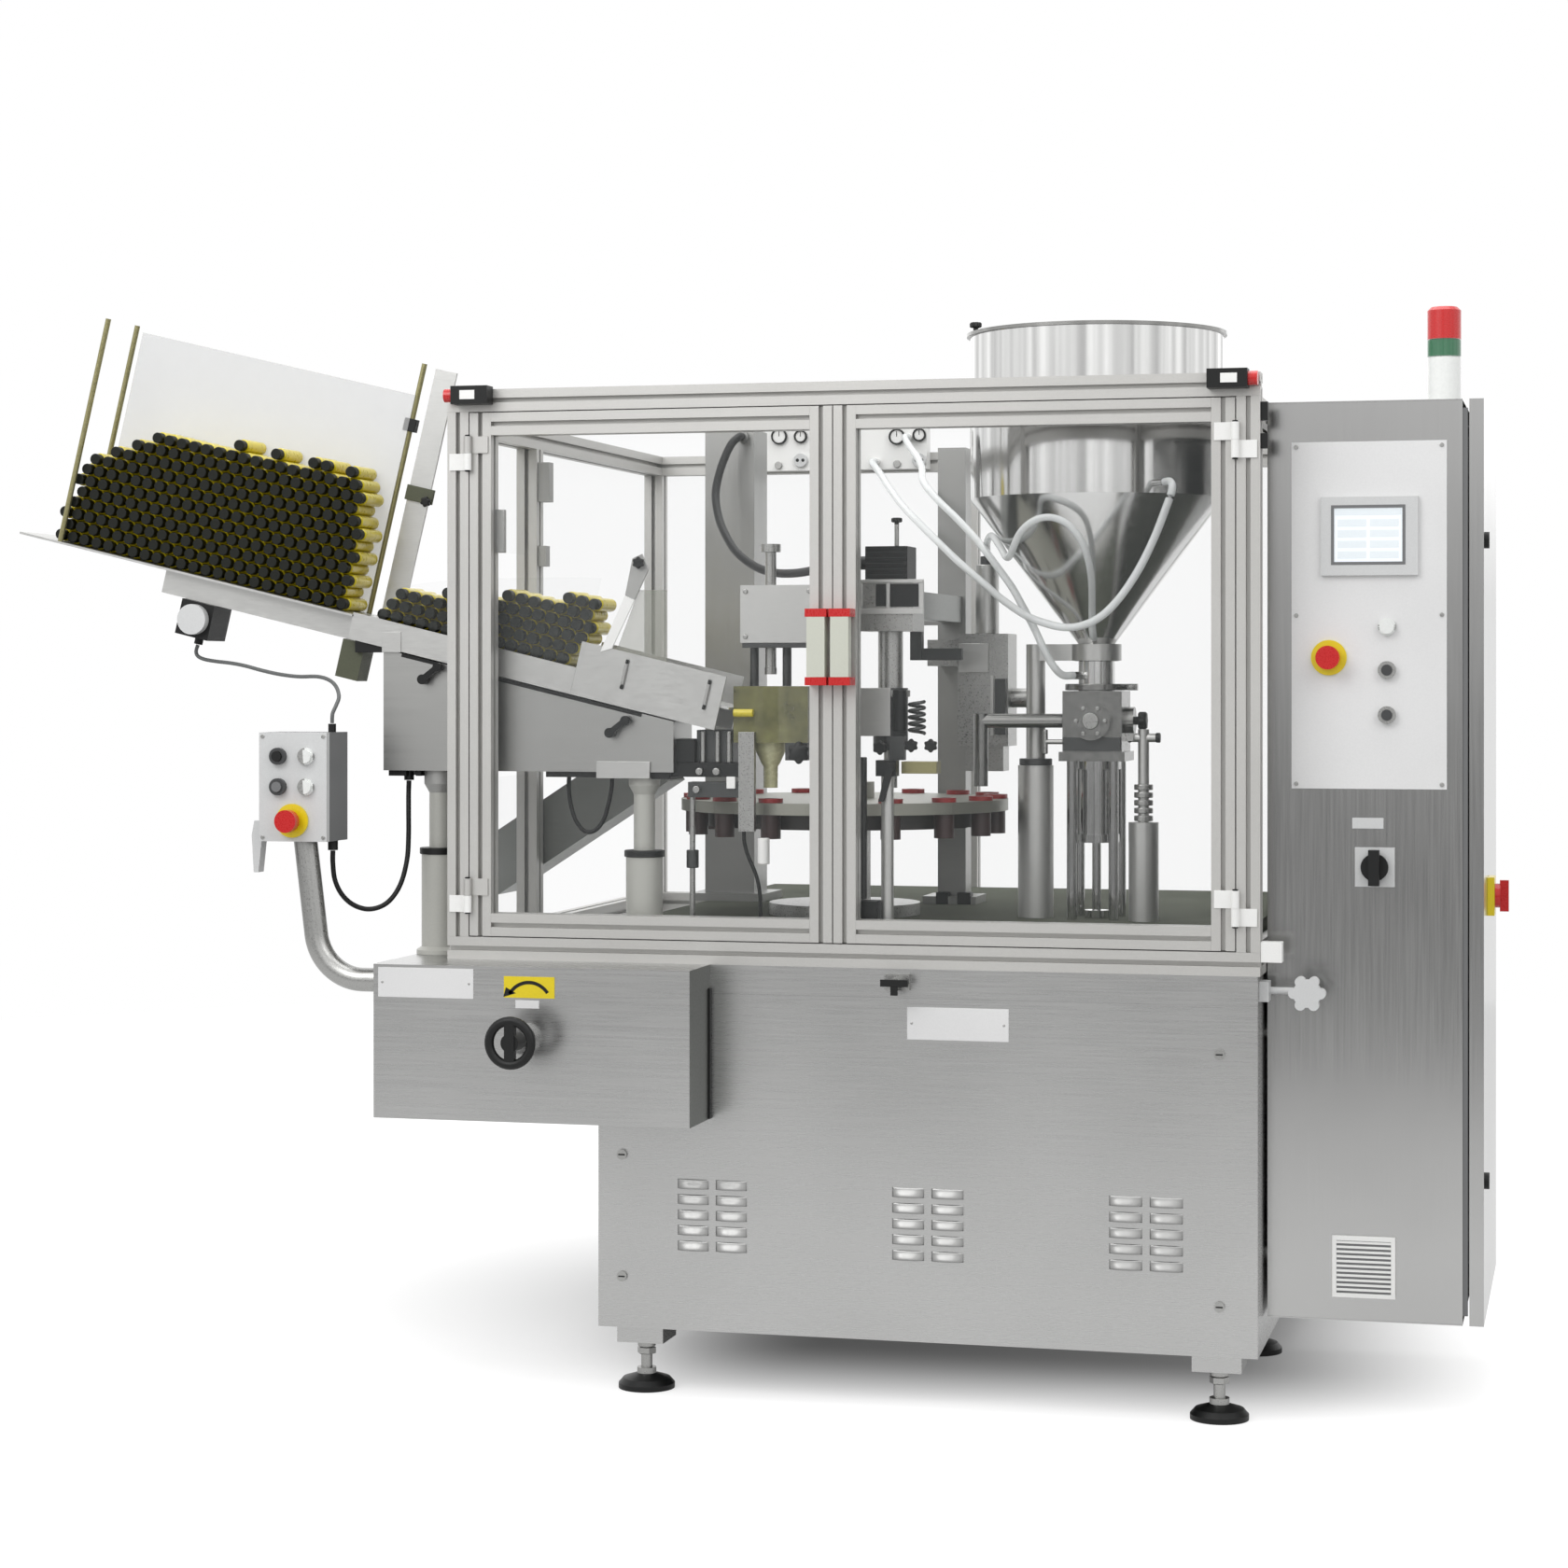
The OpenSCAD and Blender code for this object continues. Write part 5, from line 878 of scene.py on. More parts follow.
@dataclass
class InfeedFittings(SubAssembly):
    """Catch plates, stops, screws and the funnel round the chute's exit and the insertion head."""

    name: str = "infeed_fittings"
    finishes: Sequence[Finish] = (WHITE_PLASTIC, DARK_STEEL, BLACK_PLASTIC, MACHINED, PALE_RESIN, TUBE_BODY)
    blocks: Sequence[Block] = (
        ((-342, 98.5, 1311), (-214, 128.5, 1319.6), 1), ((-464, 84, 1107.3), (-425.4, 150, 1149), 2),
        ((-468, 80, 1082), (-342, 165, 1107), 2), ((-425.2, 96, 1107.3), (-358.5, 160, 1165), 1),
        ((-437, 80, 1046), (-330, 112, 1073), 1), ((-503, 72, 1078), (-468.2, 118, 1089.7), 2),
        ((-344, 78, 986), (-315, 91.4, 1162), 3), ((-364.5, 74, 1062), (-349, 79.8, 1083), 0),
        ((-262, 92, 1112), (-222, 110, 1142.8), 1))
    rods: Sequence[Bar] = (
        ((-436.7, 110, 820.2), Axis.Z, 226, 10, 3), ((-436.7, 110, 919), Axis.Z, 32, 22, 1),
        ((-412, 90, 1107.2), Axis.Z, 56, 9, 3), ((-385, 90, 1107.2), Axis.Z, 56, 9, 3),
        ((-364, 90, 1107.2), Axis.Z, 56, 9, 3), ((-414, 70, 1092), Axis.Y, 10, 13, 3),
        ((-383, 70, 1092), Axis.Y, 10, 13, 3), ((-419.5, 70, 1060), Axis.Y, 10, 13, 3),
        ((-354, 84, 1195.6), Axis.X, 36, 14, 5), ((-336, 94.5, 1331), Axis.Y, 3.1, 9, 3),
        ((-220, 94.5, 1331), Axis.Y, 3.1, 9, 3), ((-336, 94.5, 1411), Axis.Y, 3.1, 9, 3),
        ((-220, 94.5, 1411), Axis.Y, 3.1, 9, 3), ((-299, 84, 929), Axis.Z, 46, 21, 0))
    knobs: Sequence[Bar] = (((-234, 92, 1126), Axis.Y, -18, 40, 2),)
    funnel: Sequence[Pair] = ((12.5, 1062), (13, 1100), (17, 1106), (28, 1130), (28, 1142.8))

    def extra(self, piece: Piece) -> None:
        """Adds the funnel under the guide block."""
        piece.turned((-300.5, 139.5, 0), self.funnel, Axis.Z, 4)


@dataclass
class OrientFittings(SubAssembly):
    """Frames, knobs, spring and brackets of the orienting head, and the crimp head's air cylinder."""

    name: str = "orient_fittings"
    finishes: Sequence[Finish] = (MACHINED, DARK_STEEL, BLACK_PLASTIC, BRIGHT_PLATE, OLD_BRASS)
    blocks: Sequence[Block] = (
        ((-104, 118.5, 1384), (-86, 121.3, 1423), 2), ((-136, 114, 1425), (-18, 121.3, 1431), 3),
        ((-136, 112, 1370), (-18, 121.3, 1380), 3), ((-136, 115, 1380.2), (-128, 121.3, 1424.8), 3),
        ((-26, 115, 1380.2), (-18, 121.3, 1424.8), 3), ((-84, 115, 1380.2), (-78, 121.3, 1424.8), 3),
        ((-77.8, 118, 1383), (-26.2, 121.2, 1423), 2), ((-134, 126, 1155), (-79.2, 131, 1240), 3),
        ((-79, 116, 1113), (-53, 136, 1155), 1), ((-54, 100, 1090), (9, 140, 1111), 4),
        ((-138, 60, 820.2), (-88, 104, 868), 2), ((-100, 390, 1290), (-78, 410, 1359.8), 1),
        ((-77.8, 392, 1290), (-4, 408, 1312), 1), ((30, 499, 1150), (36, 503.8, 1262), 3),
        ((40, 490, 1152), (60, 503.8, 1256), 1), ((-30, 498, 1268), (26, 503.8, 1322), 3),
        ((-114, 696, 820.3), (-90, 722.3, 843), 2), ((-72, 696, 820.3), (-46, 722.3, 843), 2),
        *(((-124, 127, z), (-52, 131.3, z + 4), 2) for z in range(1436, 1487, 10)))
    rods: Sequence[Bar] = (
        ((-125, 112, 868.2), Axis.Z, 250, 13, 1), ((-63, 128, 1164), Axis.Z, 73, 24, 2),
        ((-73, 150, 1490.2), Axis.Z, 40, 8, 0), ((14.5, 550, 1340.2), Axis.Z, 130, 44, 3),
        ((14.5, 550, 1470.2), Axis.Z, 16, 26, 1))
    knobs: Sequence[Bar] = (
        ((-73, 150, 1529), Axis.Z, 12, 20, 2), ((-95, 126, 1135), Axis.Y, -20, 26, 2),
        ((-39, 126, 1139), Axis.Y, -20, 24, 2), ((-4, 126, 1139), Axis.Y, -20, 24, 2))
    hoops: Sequence[Ring] = (((-88, 167.5, 1224), Axis.Z, 31.2, 35, 12, 0),)
    spring_turns: int = 5
    spring_r: float = 13.0
    spring_h: float = 56.0
    spring_at: Point = (-31, 124, 1160)
    wire_d: float = 6.5

    def extra(self, piece: Piece) -> None:
        """Adds the clamp lever and the spring, a helix that climbs evenly."""
        piece.prism([(-86, 1042), (-76, 1042), (-58, 1102), (-58, 1110), (-70, 1110)], 56, 63.8, 2)
        t = np.linspace(0, 1, 28 * self.spring_turns)
        turn = 2 * np.pi * self.spring_turns * t
        path = np.column_stack([self.spring_r * np.cos(turn), self.spring_r * np.sin(turn), self.spring_h * t])
        piece.tube(path + self.spring_at, self.wire_d, 1, 8)


@dataclass
class FillerFittings(SubAssembly):
    """Clamps, bolts, handles and knurled nuts of the dosing valve and its columns."""

    name: str = "filler_fittings"
    finishes: Sequence[Finish] = (MACHINED, VALVE_STEEL, DARK_STEEL, BLACK_PLASTIC)
    blocks: Sequence[Block] = (
        ((300, 402, 1235), (318, 418, 1247), 1), ((298, 344, 1144), (320, 352, 1158), 0),
        ((191, 349.5, 1126), (295, 355.8, 1150), 2))
    rods: Sequence[Bar] = (
        ((309, 386, 1241), Axis.Y, 48, 7, 0), ((243, 333, 1180), Axis.Y, 5, 30, 0),
        ((158, 352, 1142), Axis.X, 33, 9, 0), ((158, 352, 1120), Axis.Z, 44, 10, 0),
        ((308, 360, 1150), Axis.X, 5.8, 18, 3), ((358.2, 360, 1150), Axis.X, 8, 18, 3))
    knobs: Sequence[Bar] = (((313.2, 410, 1180), Axis.X, 22, 36, 3), ((42, 291, 1884.2), Axis.Z, 14, 22, 3))
    hoops: Sequence[Ring] = (
        ((243, 410, 1235), Axis.Z, 33.3, 57, 12, 1), ((243, 410, 1288), Axis.Z, 33.3, 41, 8, 1),
        ((243, 410, 1311), Axis.Z, 33.3, 38, 7, 1), ((131, 410, 1098.2), Axis.Z, 17.6, 30, 12, 2),
        *(((336, 360, 1000 + 14 * i), Axis.Z, 10.2, 17, 10, 0) for i in range(5)))
    bolt_ring: float = 26.0

    def extra(self, piece: Piece) -> None:
        """Adds six bolts round the front cover."""
        for turn in np.arange(6) * np.pi / 3:
            at = (243 + self.bolt_ring * math.cos(turn), 334, 1180 + self.bolt_ring * math.sin(turn))
            piece.turned(at, [(3.4, 0), (4, 0.6), (4, 4)], Axis.Y, 0, 6)


@dataclass
class ValveManifolds(SubAssembly):
    """Gauges and selectors on the two valve manifolds at the rear rail."""

    name: str = "manifold_fittings"
    finishes: Sequence[Finish] = (WHITE_PLASTIC, GREY_PLASTIC, BLACK_PLASTIC, MACHINED)
    slot: str = "white_plastic"
    bevel_mm: float = 0.6
    gauges: Sequence[Point] = ((-551, 1767, 34), (-504.5, 1766, 28), (-297, 1762, 34),
                                                    (-249, 1765, 28))
    selectors: Sequence[Pair] = ((-504.5, 1716), (-249, 1712))
    ports: Sequence[Pair] = ((-553, 1706), (-600, 1710), (-347, 1706), (-297, 1705))
    front: float = 1189.0

    def extra(self, piece: Piece) -> None:
        """Adds gauges with a rim and a face, selectors with two dots, and small ports."""
        for x, z, d in self.gauges:
            piece.hoop((x, self.front - 9, z), d / 2 - 3, d / 2, 8.8, Axis.Y, 2)
            piece.rod((x, self.front - 6, z), Axis.Y, 5.8, d - 6, 0)
            piece.box((x - 0.8, self.front - 6.6, z), (x + 0.8, self.front - 6.1, z + d / 3), 2)
        for x, z in self.selectors:
            piece.rod((x, self.front - 8, z), Axis.Y, 7.8, 30, 1)
            for s in (-1, 1):
                piece.rod((x + 6 * s, self.front - 8.8, z), Axis.Y, 0.7, 7, 2)
        for x, z in self.ports:
            piece.rod((x, self.front - 6, z), Axis.Y, 5.8, 16, 3)


@dataclass
class ControlFace(SubAssembly):
    """Panel screws, the filter grille's slats, the screen's frame and blank tiles, and the cabinet door's seal."""

    name: str = "control_face"
    finishes: Sequence[Finish] = (MACHINED, WHITE_PLASTIC, DARK_PLASTIC, SCREEN_TILE)
    slot: str = "white_plastic"
    bevel_mm: float = 0.4
    blocks: Sequence[Block] = (
        ((694, 89.8, 210), (799, 91.9, 217), 1), ((694, 89.8, 306), (799, 91.9, 313), 1),
        ((694, 89.8, 217.1), (701, 91.9, 305.9), 1), ((792, 89.8, 217.1), (799, 91.9, 305.9), 1),
        ((701.2, 91.5, 217.2), (791.8, 91.95, 305.8), 2), ((905, 102.2, 185), (918.5, 109, 1712), 2),
        *(((701.2, 90.2, z), (791.8, 91.6, z + 4), 1) for z in range(221, 303, 8)),
        ((692, 89.4, 1449), (816, 89.95, 1454), 2), ((692, 89.4, 1545), (816, 89.95, 1550), 2),
        ((692, 89.4, 1454.1), (697, 89.95, 1544.9), 2), ((811, 89.4, 1454.1), (816, 89.95, 1544.9), 2),
        ((699, 91.2, 1533), (809, 91.55, 1543), 3),
        *(((703 + 54 * j, 91.2, 1460 + 18 * i), (751 + 54 * j, 91.55, 1472 + 18 * i), 3)
          for i in range(4) for j in range(2)))
    rods: Sequence[Bar] = tuple(((x, 96.3, z), Axis.Y, 1.6, 7.5, 0) for x in (633, 876)
                                for z in (1078, 1364, 1650))


@dataclass
class PendantFittings(SubAssembly):
    """Cover screws of the pendant and the hook on its side."""

    name: str = "pendant_fittings"
    finishes: Sequence[Finish] = (MACHINED, GREY_PLASTIC)
    bevel_mm: float = 0.4
    rods: Sequence[Bar] = tuple(((x, -110.9, z), Axis.Y, 1.5, 7.5, 0) for x in (-1167, -1052) for z in (975, 1154))

    def extra(self, piece: Piece) -> None:
        """Adds the hook on the left side."""
        piece.prism([(-1189, 912), (-1180, 912), (-1174, 967.6), (-1177.2, 967.8), (-1177.2, 1004), (-1188, 1004),
                     (-1193, 978)], -98, -74, 1)


@dataclass
class GuardFittings(SubAssembly):
    """Hinge-pin caps, switch plates, pane clips and small blocks on the guard."""

    name: str = "guard_fittings"
    finishes: Sequence[Finish] = (WHITE_PLASTIC, CAST_CAP, BLACK_PLASTIC)
    slot: str = "white_plastic"
    bevel_mm: float = 0.6
    blocks: Sequence[Block] = (
        ((-825, -34.7, 1751), (-797, -34.05, 1767), 0), ((519, -34.7, 1751), (547, -34.05, 1767), 0),
        ((-819.8, 388, 1591), (-797, 412, 1666), 1), ((-819.8, 388, 1469), (-804, 412, 1508), 1),
        ((582.2, 2, 781), (618, 30, 815), 0), ((582.2, 4, 1690), (594, 24, 1721), 2),
        ((582.2, 4, 1643), (594, 24, 1668), 2))
    rods: Sequence[Bar] = tuple(((x, -8, z), Axis.Z, 2.6, 10, 2) for x in (-819, 541)
                                for z in (838.2, 901.2, 1624.2, 1687.2))


@dataclass
class DoorClip(SubAssembly):
    """Pane clip inside the left door."""

    name: str = "left_door_clip"
    finishes: Sequence[Finish] = (CAST_CAP,)
    slot: str = "profile_aluminium"
    body: str = "left_door"
    blocks: Sequence[Block] = (((-778.2, 24, 1481), (-762, 38, 1558), 0),)


@dataclass
class ChuteFittings(SubAssembly):
    """Brackets and black strips under the chute, the strips partly painted shade of its underside, collars of its
    legs, end tabs and the angled stay of its cover.
    """

    name: str = "chute_fittings"
    finishes: Sequence[Finish] = (BLACK_PLASTIC, BRIGHT_PLATE, CAST_CAP, WHITE_PLASTIC, HAZE_SHEET)
    blocks: Sequence[Block] = (
        # The black strips at the housing's foot are black rubber and partly painted shade of the housing's underside.
        ((-1000, 74, 1080), (-966, 178, 1089.7), 0), ((-948, 74, 1080), (-938, 178, 1089.7), 0),
        ((-700, 74, 1080), (-466, 178, 1089.7), 0), ((-601, 60, 1079), (-502, 65.6, 1109), 1),
        ((-1062, 66, 1304), (-1008, 110, 1341), 0), ((-1007.8, 60, 1304), (-971, 65.8, 1341), 1))
    knobs: Sequence[Bar] = (((-520, 60, 1462), Axis.Y, -14, 22, 0),)
    hoops: Sequence[Ring] = (((-912, 102, 938), Axis.Z, 19.2, 36, 12, 0), ((-524, 102, 938), Axis.Z, 19.2, 36, 12, 0))

    def extra(self, piece: Piece) -> None:
        """Adds the cover's angled stay, its end plate and the hazed end sheet."""
        piece.prism([(-594, 1304), (-572, 1310), (-530, 1396), (-548, 1404)], 60, 64.5, 3)
        piece.prism([(-547.6, 1404.4), (-529.6, 1396.4), (-504, 1450), (-516, 1478), (-534, 1470)], 60, 64.5, 2)
        piece.prism([(-566, 1304), (-472, 1282), (-472, 1414), (-524, 1414)], 66.2, 68.2, 4)


@dataclass
class MagazineFittings(SubAssembly):
    """Clamp on the gate rod and the bracket with its knob, in places on the falling line."""

    name: str = "magazine_fittings"
    finishes: Sequence[Finish] = (BLACK_PLASTIC, OLIVE_PAINT)
    place: Place = LINE.place
    blocks: Sequence[Block] = (((610, 178, 345), (634, 194, 369), 0), ((644, 176, 222), (698, 184, 250), 1))
    knobs: Sequence[Bar] = (((690, 176, 226), Axis.Y, -14, 20, 0),)


@dataclass
class ChuteSlots(SubAssembly):
    """Dark seals under the chute's rail and two hinges on its exit plate, in places on the falling line."""

    name: str = "chute_slots"
    finishes: Sequence[Finish] = (BLACK_PLASTIC, CAST_CAP)
    place: Place = LINE.place
    bevel_mm: float = 0.4
    blocks: Sequence[Block] = (((747, 64.9, -54), (826, 65.9, -47.6), 0), ((912, 64.9, -54), (1213, 65.9, -47.6), 0))
    rods: Sequence[Bar] = tuple(((u, 58.9, w), Axis.Z, length, 6, finish) for u in (1167, 1323)
                                for w, length, finish in ((-14, 8, 0), (-5.8, 37.6, 1), (32, 8, 0)))


@dataclass
class BaseFittings(SubAssembly):
    """Latch handle, lock slots, a black strip of painted shade by the handwheel box and the nuts of the levelling
    feet.
    """

    name: str = "base_fittings"
    finishes: Sequence[Finish] = (MACHINED, BLACK_PLASTIC)
    bevel_mm: float = 0.6
    locks: Sequence[Pair] = ((-534, 420), (-534, 206), (514, 625), (514, 201))
    blocks: Sequence[Block] = (((-62, -36, 729), (-14, -30.2, 741), 1), ((-44, -36.2, 714), (-32, -30.2, 728.8), 1),
                               # Painted shade: the black strip along the handwheel box's right edge stands for the
                               # dark gap where the box meets the base front.
                               ((-373.8, -13, 489), (-370.5, -0.3, 716), 1))
    feet: Sequence[Pair] = tuple((x, y) for x in (-507, 507) for y in (60, 632.5, 1205))

    def extra(self, piece: Piece) -> None:
        """Adds a slot to each lock and a hexagon nut to each foot."""
        for x, z in self.locks:
            piece.box((x - 6, -5.6, z - 1.3), (x + 6, -4.9, z + 1.3), 1)
        for x, y in self.feet:
            piece.turned((x, y, 60), [(16, 0), (17, 1), (17, 11), (16, 12)], Axis.Z, 0, 6)


FITTINGS = (InfeedFittings, OrientFittings, FillerFittings, ValveManifolds, ControlFace, PendantFittings,
            GuardFittings, DoorClip, ChuteFittings, ChuteSlots, MagazineFittings, BaseFittings)


@dataclass
class ChuteCover:
    """Clear cover in front of the tubes in the chute, on the falling line."""

    low_u: float = 690.0
    high_u: float = 1085.0
    floor_w: float = 10.0
    edge_w: float = 40.0
    rise: float = 120.0
    bow: float = 0.7
    front: float = 61.6
    thick: float = 2.6
    steps: int = 25

    def build(self) -> None:
        """Sweeps a sheet whose top edge climbs as floor + edge + rise * share^bow along the line."""
        share = np.linspace(0, 1, self.steps)
        u = self.low_u + (self.high_u - self.low_u) * share
        top = self.floor_w + self.edge_w + self.rise * share ** self.bow
        low = np.full(self.steps, self.floor_w)
        y = np.array([self.front, self.front + self.thick])
        section = [(y[0], low), (y[0], top), (y[1], top), (y[1], low)]
        points = np.stack([np.column_stack([u, np.full(self.steps, depth), w]) for depth, w in section], 1)
        piece = Piece("chute_cover", LINE.place)
        ends = [np.array([[0, 1, 2, 3]]), 4 * (self.steps - 1) + np.array([[3, 2, 1, 0]])]
        piece.patch(points, [grid_faces(self.steps, 4, True)[:, ::-1], *ends])
        piece.build([CLEAR_SHEET], "frame", "clear_sheet")


@dataclass
class BaseFront:
    """Pressed louvres, blank plates and the turning arrow on the base and the handwheel box."""

    groups: Sequence[float] = (-370.0, 14.0, 390.0)
    slot_w: float = 50.0
    slot_h: float = 12.0
    pitch: float = 27.0
    gap: float = 19.0
    rows: int = 5
    first_z: float = 257.0
    depth: float = 6.0
    lap_w: float = 3.0
    lap_h: float = 5.0
    arrow_steps: int = 24

    def louvres(self) -> None:
        """Hoods that swell out of the sheet: out = depth * fall^2 * (3 - 2 fall) * (1 - side^4)^2."""
        side = np.linspace(-1, 1, 17)
        fall = np.linspace(0, 1, 7)
        s, f = np.meshgrid(side, fall)
        out = self.depth * f ** 2 * (3 - 2 * f) * (1 - s ** 4) ** 2
        hood = np.stack([s * (self.slot_w / 2 + self.lap_w), -out - 0.3, (1 - f) * (self.slot_h + self.lap_h)], -1)
        quads = grid_faces(len(fall), len(side), False)[:, ::-1]
        columns = (self.slot_w + self.gap) / 2
        places = np.array([[x + c * columns, 0.0, self.first_z + i * self.pitch - 1]
                           for x in self.groups for c in (-1, 1) for i in range(self.rows)])
        piece = Piece("louvre_hoods")
        piece.copies(hood.reshape(-1, 3), [quads], places, 0, True)
        # Painted shade: the hoods take the base's sheet made a shade darker.
        made = piece.build([SHADED_HOOD_SHEET], "frame", "stainless")
        wall = made.modifiers.new("sheet_thickness", "SOLIDIFY")
        wall.thickness = 1.0 * MM
        wall.offset = -1.0

    def plates(self) -> None:
        """Blank riveted plates and a yellow plate with a turning arrow over the handwheel."""
        piece = Piece("blank_plates")
        piece.box((-22, -1.2, 636), (155, -0.05, 692), 0)
        piece.box((-940, -132.2, 700), (-764, -131.05, 752), 0)
        piece.box((-687, -132.0, 686), (-644, -131.05, 700), 0)
        for x, y, z in ((-14, -1.2, 664), (147, -1.2, 664), (-932, -132.2, 726), (-772, -132.2, 726)):
            piece.turned((x, y - 0.8, z), [(1.2, 0), (2.4, 0.5), (2.4, 0.9)], Axis.Y, 1, 16)
        piece.build([WHITE_COAT, MACHINED], "frame", "white_paint", 0.3)
        arrow = Piece("turning_arrow_plate")
        arrow.box((-708, -132.2, 704), (-616, -131.05, 741), 0)
        turn = np.linspace(math.radians(35), math.radians(150), self.arrow_steps)
        band = np.array([38.0, 44.0])
        ring = np.stack([-662 + band[:, None] * np.cos(turn), np.full((2, self.arrow_steps), -132.6),
                         690 + band[:, None] * np.sin(turn)], -1)
        arrow.patch(ring, [grid_faces(2, self.arrow_steps, False)], 1)
        tip = np.array([[-709.0, -132.6, 705.0], [-686, -132.6, 712], [-704, -132.6, 722]])
        arrow.patch(tip, [np.array([[0, 1, 2]])], 1)
        arrow.build([YELLOW_PLASTIC, BLACK_PLASTIC], "frame", "grey_plastic")

    def build(self) -> None:
        """Builds the base dressing."""
        self.louvres()
        self.plates()


@dataclass
class Studio:
    """Camera at the photograph's angle, pale floor, soft lamps and a white room.

    The floor's own light is dimmed into a painted shadow: shade, over metres from the rear of the footprint, and a
    painted soft shadow, soft, over metres from its left rear corner. The room's mirror image follows bay round the
    machine, belt and high over height, and behind.
    """

    eye: Point = (1151.0, -5500.0, 1260.0)
    turn: float = 14.2
    lens: float = 75.0
    drop: float = -0.0685
    floor_r: float = 6000.0
    floor_y: float = 1500.0
    floor_z: float = -0.5
    floor_sides: int = 96
    floor_colour: tuple[float, float, float, float] = (0.42, 0.42, 0.42, 1)
    painted_shadow_at: Point = (80.0, 870.0, 0.0)
    painted_shadow_half: Point = (0.36, 0.36, 1.0)
    painted_soft_shadow_at: Point = (-500.0, 1000.0, 0.0)
    # Painted shadow: shade dims the floor's own light near the footprint, soft near its left rear corner.
    shade: Span = (0.0, 0.55, 0.12, 0.74)
    soft: Span = (0.3, 1.1, 0.40, 1.0)
    mirror_share: float = 0.68
    room_light: float = 0.8
    bay_scale: float = 5.0
    bay: Span = (0.35, 0.65, 0.55, 1.05)
    belt_z: float = -0.06
    belt: Span = (0.02, 0.12, 0.36, 1.0)
    high: Span = (-0.02, 0.09, 1.0, 1.65)
    behind: Span = (0.15, 0.65, 0.0, 1.0)
    lamps: Sequence[tuple] = (("key_lamp", (-2200, -3600, 4200), (0, 300, 900), 3.0, 100),
                              ("fill_lamp", (3600, -3000, 4600), (200, 300, 900), 3.0, 50),
                              ("top_lamp", (0, 600, 4800), (0, 500, 900), 3.5, 75))

    def metres(self, at: Point) -> list[float]:
        """Turns one millimetre place into metres in the shared frame."""
        return DATUM.place(np.array([at]))[0].tolist()

    def camera(self) -> None:
        """Level camera turned to the left, with its view shifted down."""
        lens = bpy.data.cameras.new("camera")
        lens.lens = self.lens
        lens.sensor_width = 36.0
        lens.shift_y = self.drop
        lens.clip_end = 100.0
        made = bpy.data.objects.new("camera", lens)
        made.location = self.metres(self.eye)
        made.rotation_euler = (math.pi / 2, 0, math.radians(self.turn))
        bpy.context.scene.collection.objects.link(made)
        bpy.context.scene.camera = made

    def floor(self) -> None:
        """Round pale floor that keeps the shadow.

        Part of its light is its own for camera, mirror and clear rays, less for mirrors. That own light is dimmed
        into
        a painted shadow: it grows smoothly with the distance from the rear of the footprint, and a little from its
        left rear corner, which paints a soft shadow.
        """
        turn = np.linspace(0, 2 * np.pi, self.floor_sides, endpoint=False)
        rim = np.column_stack([self.floor_r * np.cos(turn), self.floor_r * np.sin(turn) + self.floor_y,
                               np.full(self.floor_sides, self.floor_z)])
        mesh = bpy.data.meshes.new("studio_floor")
        mesh.from_pydata(DATUM.place(rim).tolist(), [], [list(range(self.floor_sides))])
        made = bpy.data.objects.new("studio_floor", mesh)
        bpy.context.scene.collection.objects.link(made)
        paint = bpy.data.materials.new("floor_pale")
        paint.use_nodes = True
        tree = paint.node_tree
        tree.nodes.clear()
        path = add_node(tree, "LightPath", {}).outputs
        mirror = math_node(tree, "MULTIPLY", path["Is Glossy Ray"], self.mirror_share)
        seen = math_node(tree, "MAXIMUM", path["Is Camera Ray"], mirror)
        clear = math_node(tree, "MAXIMUM", seen, path["Is Transmission Ray"])
        spot = add_node(tree, "TexCoord", {}).outputs["Object"]
        # Painted shadow: the own light is dimmed near the rear of the footprint and, softly, near its left rear
        # corner.
        sides = vector_node(tree, "ABSOLUTE", vector_node(tree, "SUBTRACT", spot, self.metres(self.painted_shadow_at)))
        outside = vector_node(tree, "MAXIMUM", vector_node(tree, "SUBTRACT", sides, self.painted_shadow_half))
        away = vector_node(tree, "LENGTH", outside, output="Value")
        level = span_node(tree, away, self.shade, "SMOOTHSTEP")
        span = vector_node(tree, "DISTANCE", spot, self.metres(self.painted_soft_shadow_at), "Value")
        part = math_node(tree, "MULTIPLY", level, span_node(tree, span, self.soft))
        own = math_node(tree, "MULTIPLY", clear, part)
        light = add_node(tree, "Emission", {"Color": WHITE_LIGHT, "Strength": own})
        matte = add_node(tree, "BsdfDiffuse", {"Color": self.floor_colour})
        both = add_node(tree, "AddShader", {0: light.outputs["Emission"], 1: matte.outputs["BSDF"]})
        add_node(tree, "OutputMaterial", {"Surface": both.outputs["Shader"]})
        mesh.materials.append(paint)

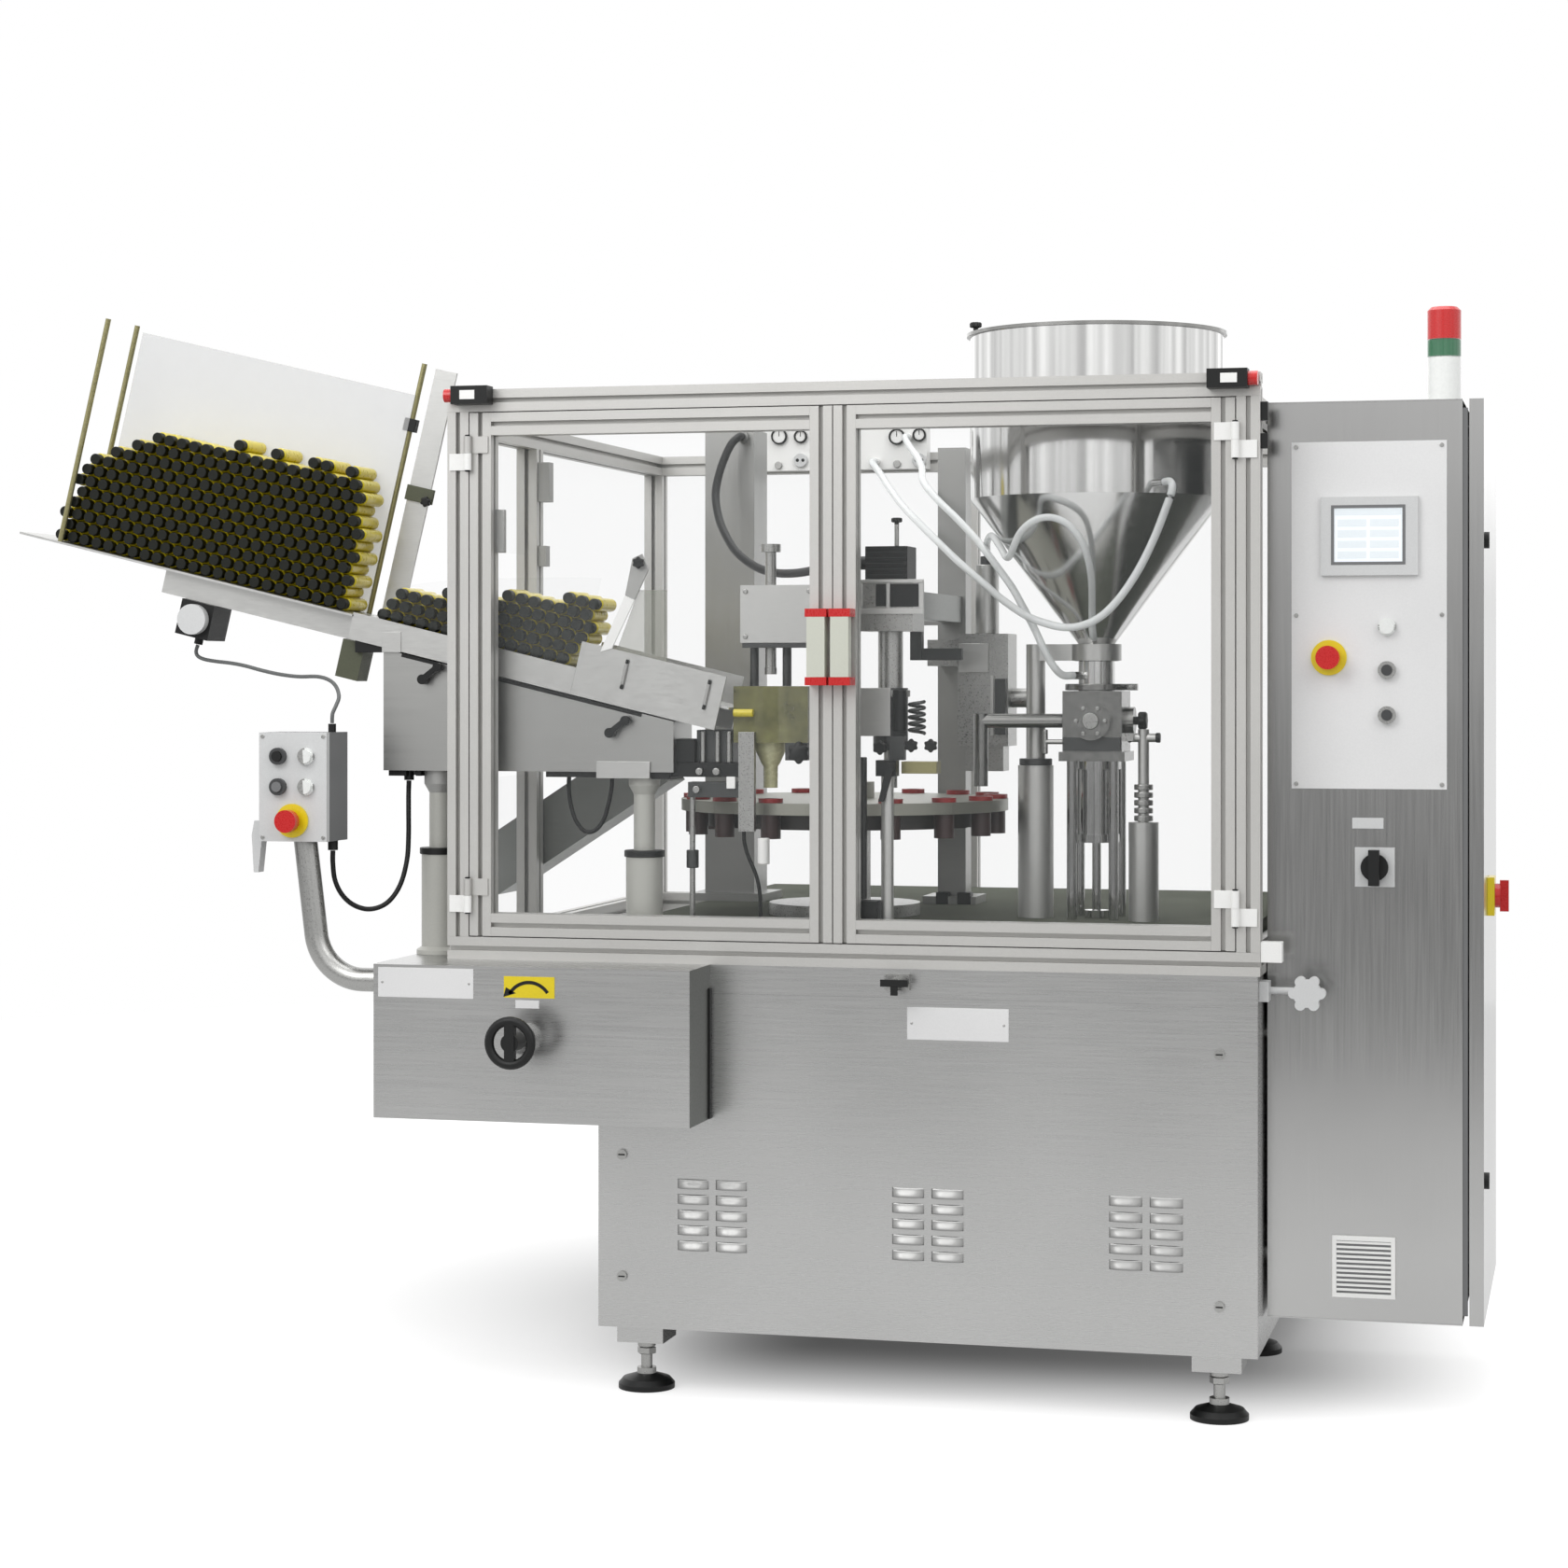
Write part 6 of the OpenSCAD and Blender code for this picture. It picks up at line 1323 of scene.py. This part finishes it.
    def room(self) -> None:
        """White room for camera and clear rays; mirrors also see its dim side behind the camera.

        There the room has soft upright bands and a dim belt just under the horizon, as a workshop has.
        """
        world = bpy.data.worlds.new("studio_room")
        bpy.context.scene.world = world
        world.use_nodes = True
        tree = world.node_tree
        tree.nodes.clear()
        path = add_node(tree, "LightPath", {}).outputs
        sky = add_node(tree, "TexCoord", {}).outputs["Generated"]
        axes = add_node(tree, "SeparateXYZ", {"Vector": sky}).outputs
        around = math_node(tree, "ARCTAN2", axes["X"], math_node(tree, "MULTIPLY", axes["Y"], -1.0))
        bands = add_node(tree, "TexNoise", {"W": around, "Scale": self.bay_scale, "Detail": 2.0},
                         noise_dimensions="1D").outputs["Fac"]
        apart = math_node(tree, "ABSOLUTE", math_node(tree, "ADD", axes["Z"], -self.belt_z))
        level = math_node(tree, "MULTIPLY", span_node(tree, apart, self.belt), span_node(tree, axes["Z"], self.high))
        dim = math_node(tree, "MULTIPLY", span_node(tree, bands, self.bay), level)
        mirror = math_node(tree, "MAXIMUM", dim, span_node(tree, axes["Y"], self.behind))
        glossy, soft, white = (add_node(tree, "Background", {"Color": WHITE_LIGHT, "Strength": strength})
                               .outputs["Background"] for strength in (mirror, self.room_light, 1.0))
        lit = add_node(tree, "MixShader", {0: path["Is Glossy Ray"], 1: soft, 2: glossy})
        seen = math_node(tree, "MAXIMUM", path["Is Camera Ray"], path["Is Transmission Ray"])
        whole = add_node(tree, "MixShader", {0: seen, 1: lit.outputs["Shader"], 2: white})
        add_node(tree, "OutputWorld", {"Surface": whole.outputs["Shader"]})

    def lamp(self, name: str, at: Point, aim: Point, size: float,
             watts: float) -> None:
        """Adds one soft square lamp.

        Args:
            name: Name of the lamp.
            at: Place in millimetres.
            aim: Place that it faces.
            size: Side in metres.
            watts: Power.
        """
        light = bpy.data.lights.new(name, "AREA")
        light.size = size
        light.energy = watts
        made = bpy.data.objects.new(name, light)
        start, end = DATUM.place(np.array([at, aim]))
        made.location = start.tolist()
        direction = Vector((end - start).tolist())
        made.rotation_euler = direction.to_track_quat("-Z", "Y").to_euler()
        bpy.context.scene.collection.objects.link(made)

    def build(self) -> None:
        """Builds the whole studio."""
        self.camera()
        self.floor()
        self.room()
        for lamp in self.lamps:
            self.lamp(*lamp)
        bpy.context.scene.view_settings.view_transform = "Standard"


def main() -> None:
    """Builds the studio, the cords and every dressed piece."""
    logging.basicConfig(level=logging.INFO, format="%(message)s")
    Studio().build()
    for cord in CORDS:
        cord.build()
    SolidDressing().build()
    TubeLoad().build()
    BaseFront().build()
    ChuteCover().build()
    for fittings in FITTINGS:
        fittings().build()


if __name__ == "__main__":
    main()
